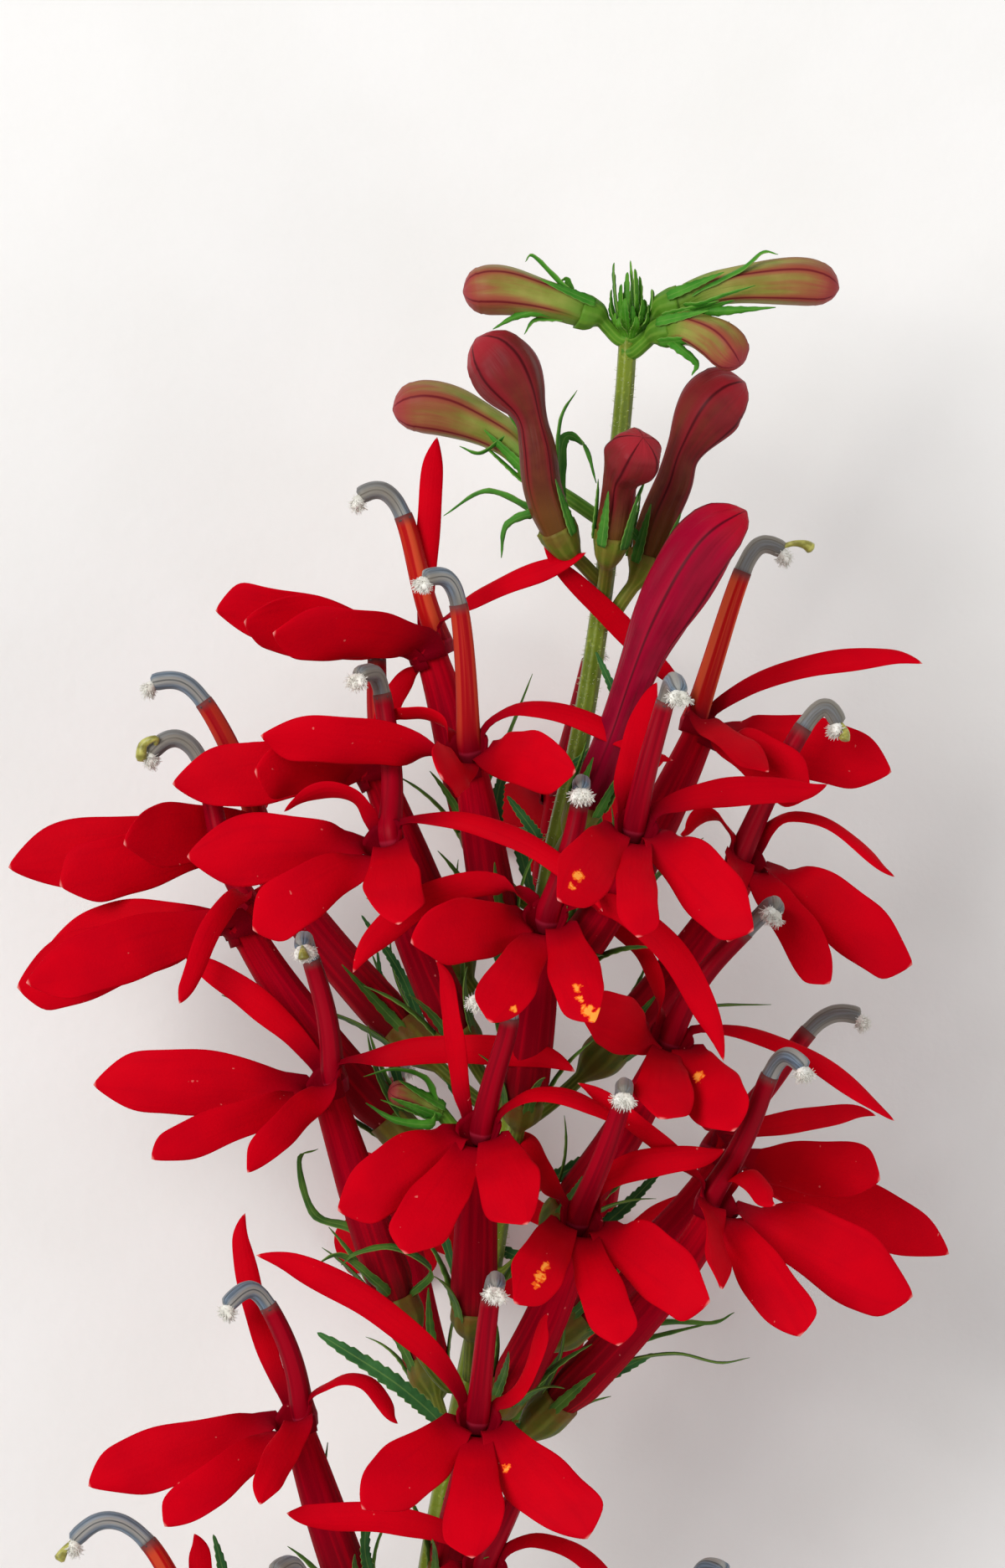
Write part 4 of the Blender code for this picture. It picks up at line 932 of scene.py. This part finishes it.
# Sepals that stand clear of each bud: the points each passes after its foot.
BUD_SEPALS = (
    (((5.8, 40.5, 36.5), (4.2, 42.2, 37), (2.5, 43.9, 37), (1.9, 43.4, 37)),
     ((3, 39.3, 37), (1, 38.8, 37), (-0.8, 37.8, 37)),
     ((4.2, 38.8, 36), (2.6, 38.6, 36), (1.8, 37.4, 36)),
     ((5.9, 40.6, 35), (5.4, 42, 35), (4.8, 41.9, 35))),
    (((16.2, 41.1, 37), (19.8, 42.8, 37.5), (21.6, 44.2, 37.5), (22.9, 44, 37.5)),
     ((17.7, 39.3, 37.6), (20, 39.4, 38), (22.7, 39.6, 37.5)),
     ((16.5, 39.8, 38), (18.5, 40.6, 38.3), (21, 41.4, 38.2))),
    (((14.7, 36.2, 39), (16.1, 34.9, 39), (15.7, 33.9, 39)),),
    (((2.1, 22.9, 37), (-1.4, 24.3, 37), (-4.9, 22.3, 36)),
     ((2.4, 22.4, 38), (0.3, 21.4, 38), (-0.1, 18.8, 37)),
     ((4.6, 26.6, 39), (4.9, 30.4, 39), (6.2, 32.7, 38)),
     ((5, 28.5, 37), (6.8, 28.2, 37), (7.8, 25, 37))),
    (((0.6, 29, 30.5), (-1.8, 27.6, 31.5), (-3.6, 28.2, 31.5)),),
    (((10.8, 23, 39), (12, 25.6, 39)),),
    (((14.6, 24, 34), (16.2, 27.5, 34), (16.9, 29.5, 34)),
     ((11.6, 20, 35.5), (10.6, 21.6, 36), (11.4, 22.8, 36.4))),
    (),
    (((-6.5, -24.6, 33), (-9, -23.8, 33.5), (-11.6, -24.4, 33.5)),
     ((-6, -28.4, 33), (-9, -28, 33.5), (-11.4, -26.6, 33))),
)


def bud_skin(name, foot, panel, panel_high, ridge, seam, tip):
    """Young petal tissue: smooth, firm and a little waxy, mottled over 2.4 mm. Each petal is
    greenest along its middle and flushed red beside the fine dark seams, most towards the tip."""
    made, tree = material(name, 0.45, IOR=1.4, Specular_IOR_Level=0.12)
    place, grain, along, cosine, sine, _ = parts(tree)
    mottle = noise(tree, place, 2.4, 4)
    streaks = streaked(tree, grain, 2, 3, 3)
    flush = add(tree, "Math", (streaks, along), operation="MULTIPLY")
    base = coats(
        tree, panel,
        (mottle, 0.3, 0.7, 1, panel_high),
        (flush, 0.12, 0.5, 0.75, ridge),
        (spokes(tree, cosine, sine, PETALS, 6), 0, 1, 0.75, ridge),
        (along, 0.6, 1, 0.5, ridge),
        (along, 0.85, 1, 0.8, tip),
        (spokes(tree, cosine, sine, PETALS, 90), 0, 1, 0.9, seam),
        (along, 0.36, 0.06, 0.85, foot))
    return finish(made, base, streaks, 0.15)


bud_finishes = (
    bud_skin("bud_green_tissue", "#5C8428", "#728430", "#949648", "#943E36", "#64141E", "#9C303A"),
    bud_skin("bud_russet_tissue", "#66421C", "#521C18", "#66301E", "#801C24", "#42080E", "#A42630"),
    bud_skin("bud_crimson_tissue", "#800020", "#74001E", "#8A0026", "#9C0028", "#4C0012", "#B40C22"))
young_calyx = leafy("young_calyx_tissue", "#447018", "#548622", "#80A03E", "#5C8428", "#34781E", "#4E8E2A")
old_calyx = leafy("old_bud_calyx_tissue", "#586A1A", "#6C6826", "#948E3C", "#6A4A20", "#326824", "#4A862C")
for number, (bud, clear) in enumerate(zip(BUDS, BUD_SEPALS), 1):
    root, cup, tube, neck, head, neck_at, crumple, age, slot, axis = bud
    axis = np.array(axis)
    middle, radius = on_stem(root)
    start = middle + unit((axis[0] - middle) * [1, 0, 1]) * radius
    stalk = through([middle, start, (start + axis[0]) / 2, *axis[:2]], CUP_RINGS)
    shares = np.linspace(0, 1, CUP_RINGS)
    profile = (0, 0.8), (0.25, 0.62), (0.62, 0.6), (0.76, 0.8 * cup), (0.9, cup), (1, cup)
    ribbed = BUD_RIB_RISE * np.clip(shares - 0.7, 0, 1)[:, None] * np.cos(CUP_RIBS * around(CUP_SIDES))
    radii = np.interp(shares, *zip(*profile))[:, None] * (1 + ribbed)
    rim, way = axis[1], unit(axis[2] - axis[0])
    side = unit(np.cross(way, [0.1, 0, 1.0]))
    outwards = spun(side, np.cross(way, side), around(SEPALS, 0.25))
    feet = rim + outwards * cup - way * SEPAL_SINK
    curves = np.stack([feet, feet + way * 2.8 + outwards * 0.2, feet + way * 5.2 + outwards * 0.6], 1)
    skins = [skin(*rod(stalk, radii, CUP_SIDES))]
    skins += sepals(rim, way, outwards, curves, clear, 0.5, 0.9 * cup, BUD_SEPAL_WIDTH, BUD_SEPAL_RINGS)
    calyx = piece(f"bud_{number}_calyx", skins, [old_calyx if age else young_calyx])
    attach(calyx, "root")

    # The closed petals: their profile is eased over nine rings up to the tip, and drawn in at the rim.
    line = through([rim - way * SEPAL_SINK, *axis[1:]], BUD_RINGS)
    shares = arc_shares(line)
    profile = ((0, tube), (0.7 * neck_at, tube), (neck_at, neck),
               (0.6 * neck_at + 0.3, 0.48 * neck + 0.42 * head), (0.3 * neck_at + 0.55, 0.94 * head),
               (0.78, head), (0.87, 0.94 * head), (0.93, 0.76 * head), (0.97, 0.5 * head),
               (0.99, 0.26 * head), (1, 0.1))
    radii = np.interp(shares, *zip(*profile))
    smooth = np.convolve(np.pad(radii, 4, mode="edge"), np.ones(9) / 9, mode="valid")
    radii = np.where(shares < 0.88, smooth, radii) * (1 - 0.12 * np.clip(1.5 - shares / 0.08, 0, 1))
    turns = around(BUD_SIDES)
    folds = np.sin(5 * turns + 9 * shares[:, None]) + 0.7 * np.sin(8 * turns - 16 * shares[:, None])
    folds = crumple * folds * np.clip((shares - neck_at) / 0.2, 0, 1)[:, None]
    seams = 0.95 + 0.09 * np.abs(np.cos(PETALS / 2 * turns)) ** 2.5
    rings, grain = rod(line, radii[:, None] * seams * (1 + folds), BUD_SIDES)
    grain[..., 0] = shares[:, None]
    petals = piece(f"bud_{number}_petals", [skin(rings, grain)], [bud_finishes[age]])
    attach(petals, "root")
    if number < len(BUDS):
        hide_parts(f"bud_{number}")

# ---- Growing tip ----
# The youngest bracts, still packed round the tip of the stem: small bright green leaves with
# toothed edges, the outer ones longer and leaning out.

APEX_FOOT, APEX_RADIUS = np.array((10.6, 37.0, 35.0)), 0.55
APEX_RINGS, APEX_TEETH = 26, 6
# Each bract: its tip from the foot, and its width.
APEX_BRACTS = (
    ((-1.3, 6.4, 0.5), 0.45), ((0.05, 6.6, 0), 0.55), ((0.8, 5.3, -0.4), 0.6), ((-1.2, 5.4, 0.3), 0.45),
    ((-1.6, 3.2, 0.8), 0.45), ((1.8, 4.2, 0.4), 1.0), ((1.2, 3.4, -1.2), 0.8), ((-0.7, 3.8, -1.3), 0.6),
    ((0.2, 2.8, 1.3), 0.6), ((-0.7, 2.6, 1.2), 0.5), ((0.9, 2.4, 1.2), 0.55), ((0.2, 4.8, -1.4), 0.6),
    ((-1.2, 2.2, 1.3), 0.5), ((1.5, 2.9, 0.9), 0.5), ((-1.5, 4.2, -0.6), 0.5), ((0.5, 3.8, 0.7), 0.5),
    ((-0.2, 5.6, 0.5), 0.6), ((0.4, 5.9, 0.3), 0.6), ((-0.7, 4.6, 0.8), 0.6), ((1.0, 3.4, 1.3), 0.6),
    ((-0.4, 3.4, 1.6), 0.7), ((1.4, 2.2, 1.5), 0.6), ((-0.9, 1.8, 1.8), 0.6), ((0.5, 1.9, 1.9), 0.7),
)


def bract_rings(line, side, width, teeth, seed, late=1.0):
    """A toothed leaf: its half width is nearly the square root of a sine, of the share along to a
    power that moves its widest part to the tip, and each tooth rises slowly and falls back at once."""
    shares = np.linspace(0, 1, len(line))
    half = width / 2 * np.sin(np.pi * np.clip(shares**late * 0.93 + 0.07, 0, 1)) ** 0.55 + 0.03
    half = half * (1 + 0.4 * (teeth * shares % 1))
    return blade(line, (half, half), side, 0.25, 1.0, cup=0.4, wave=0.1, seed=seed, sides=10)


apex_green = leafy("young_bract_tissue", "#40721C", "#508428", "#78A240", "#5C8428", "#2E6C14", "#4E8A1E")
skins = []
for k, (tip, width) in enumerate(APEX_BRACTS):
    outward = np.array(tip) * [1, 0, 1]
    foot = APEX_FOOT + unit(outward) * APEX_RADIUS
    tip = APEX_FOOT + tip
    curve = foot, foot + [0, 1.4, 0] + outward * 0.35, tip - [0, 1.2, 0] + outward * 0.15, tip
    line = bezier(curve, np.linspace(0, 1, APEX_RINGS))
    side = np.cross([0, 1.0, 0], unit(outward))
    skins.append(skin(*bract_rings(line, side, 0.8 * width, APEX_TEETH, 0.1 * k)))
apex = piece("growing_tip", skins, [apex_green])
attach(apex, "root")

# ---- Leafy bracts ----
# Under each older flower the stem carries a narrow dark green leaf with saw teeth, grown on to it
# at its foot.

BRACT_RINGS, BRACT_TEETH = 112, 26
# Each bract: the places it passes, its width, and the power that moves its widest part to the tip.
BRACTS = (
    ((-4.6, -61, 29), (-4.2, -55, 34), (-8, -50.5, 37), (-15.4, -45.6, 37), 1.15, 2.2),
    ((-4.8, -60, 28.5), (1, -54.5, 31), (6.5, -50.5, 33), (12.6, -47.5, 33), 1.3, 1.0),
    ((1.4, -22, 31.5), (-0.5, -12, 35), (-0.6, -2.5, 36), (0.2, 1.5, 36), 1.1, 1.0),
    ((2.6, -10, 32), (1.2, -4, 35), (2.8, -4.4, 37), (0.4, -1, 38), 1.0, 1.0),
    ((4.8, 1, 32), (9, 4, 33), (9.6, 6.5, 33.5), (7.8, 11, 34), 0.8, 1.0),
    ((-2, -36, 30), (4, -33, 31), (9, -30, 32), (11.5, -26, 32), 1.0, 1.0),
    ((-2.6, -38, 29), (4, -40, 28), (9.5, -36, 30), (13.5, -32, 31), 1.0, 1.0),
    ((-3.2, -44, 28.5), (-6, -34, 27), (-9.5, -22, 27), (-10.5, -14, 26), 0.7, 1.0),
    ((-1.5, -30, 29.5), (-6, -22, 28), (-8.5, -16, 28), (-11.8, -11, 28), 0.7, 1.0),
    ((-8.5, -88, 21), (-16, -80, 24), (-22, -70, 27), (-24.2, -62.8, 29), 1.2, 1.0),
    ((-6.5, -74, 24.5), (-10, -68, 29), (-11.5, -64, 32), (-10.8, -58, 33), 0.8, 1.0),
)
bract_green = leafy("bract_tissue", "#345F2E", "#40703A", "#74944C", "#40703A", "#27522A", "#386834")
skins = []
for k, (*places, width, late) in enumerate(BRACTS):
    line = through(places, BRACT_RINGS)
    side = unit(np.cross(line[-1] - line[0], [0.2, 0, 1.0]))
    skins.append(skin(*bract_rings(line, side, width, BRACT_TEETH, 0.13 * k, late)))
bracts = piece("leafy_bracts", skins, [bract_green])
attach(bracts, "root")

# ---- Floor, light and camera ----
# A pale sheet of matt paper under the flower, a large soft lamp on each side, and a long lens
# looking straight down. All sizes and places here are in metres.

FLOOR_HALF, FLOOR_HEIGHT = 2.0, -0.0002
# Each lamp: its name, place, power in watts, and width. Both look at the same place.
LAMPS = ("key", (-0.55, 0.35, 0.9), 9.5, 0.6), ("fill", (0.7, -0.3, 0.7), 3.5, 0.9)
LAMP_AIM = 0.0, 0.03, 0.03
SKY_STRENGTH = 0.42
SENSOR = 36
# The camera's height over the spike, and how much of the spike's length it frames.
SPIKE_HEIGHT, CAMERA_HEIGHT, FRAME_HEIGHT = 0.03, 1.2, 0.1311

paper, tree = material("floor_paper", 0.9)
place = add(tree, "TexCoord", output="Object")
clouds = noise(tree, place, 17, 4)
fibres = noise(tree, place, 1.1, 3)
finish(paper, coats(tree, "#ECEAE6", (clouds, 0.2, 0.8, 1, "#F0EEEB")), fibres, 0.05)
sheet = bpy.data.meshes.new("floor")
corners = [(x * FLOOR_HALF, y * FLOOR_HALF, FLOOR_HEIGHT) for x, y in ((-1, -1), (1, -1), (1, 1), (-1, 1))]
sheet.from_pydata(corners, [], [(0, 1, 2, 3)])
sheet.materials.append(paper)
floor = shown("floor", sheet)

for name, place, power, size in LAMPS:
    lamp = bpy.data.lights.new(name, "AREA")
    lamp.energy, lamp.size = power, size
    light = shown(name, lamp)
    light.location = place
    aim = unit(np.subtract(LAMP_AIM, place))
    light.rotation_euler = (math.acos(-aim[2]), 0, math.atan2(aim[1], aim[0]) - math.pi / 2)
world = bpy.data.worlds.new("studio")
world.use_nodes = True
sky = world.node_tree.nodes["Background"]
sky.inputs["Color"].default_value = colour("#F4F6FA")
sky.inputs["Strength"].default_value = SKY_STRENGTH
bpy.context.scene.world = world
bpy.context.scene.view_settings.view_transform = "Standard"

lens = bpy.data.cameras.new("camera")
lens.sensor_width = SENSOR
lens.lens = SENSOR * CAMERA_HEIGHT / FRAME_HEIGHT
camera = shown("camera", lens)
camera.location = (*-MIDDLE[:2] * MM, SPIKE_HEIGHT + CAMERA_HEIGHT)
bpy.context.scene.camera = camera
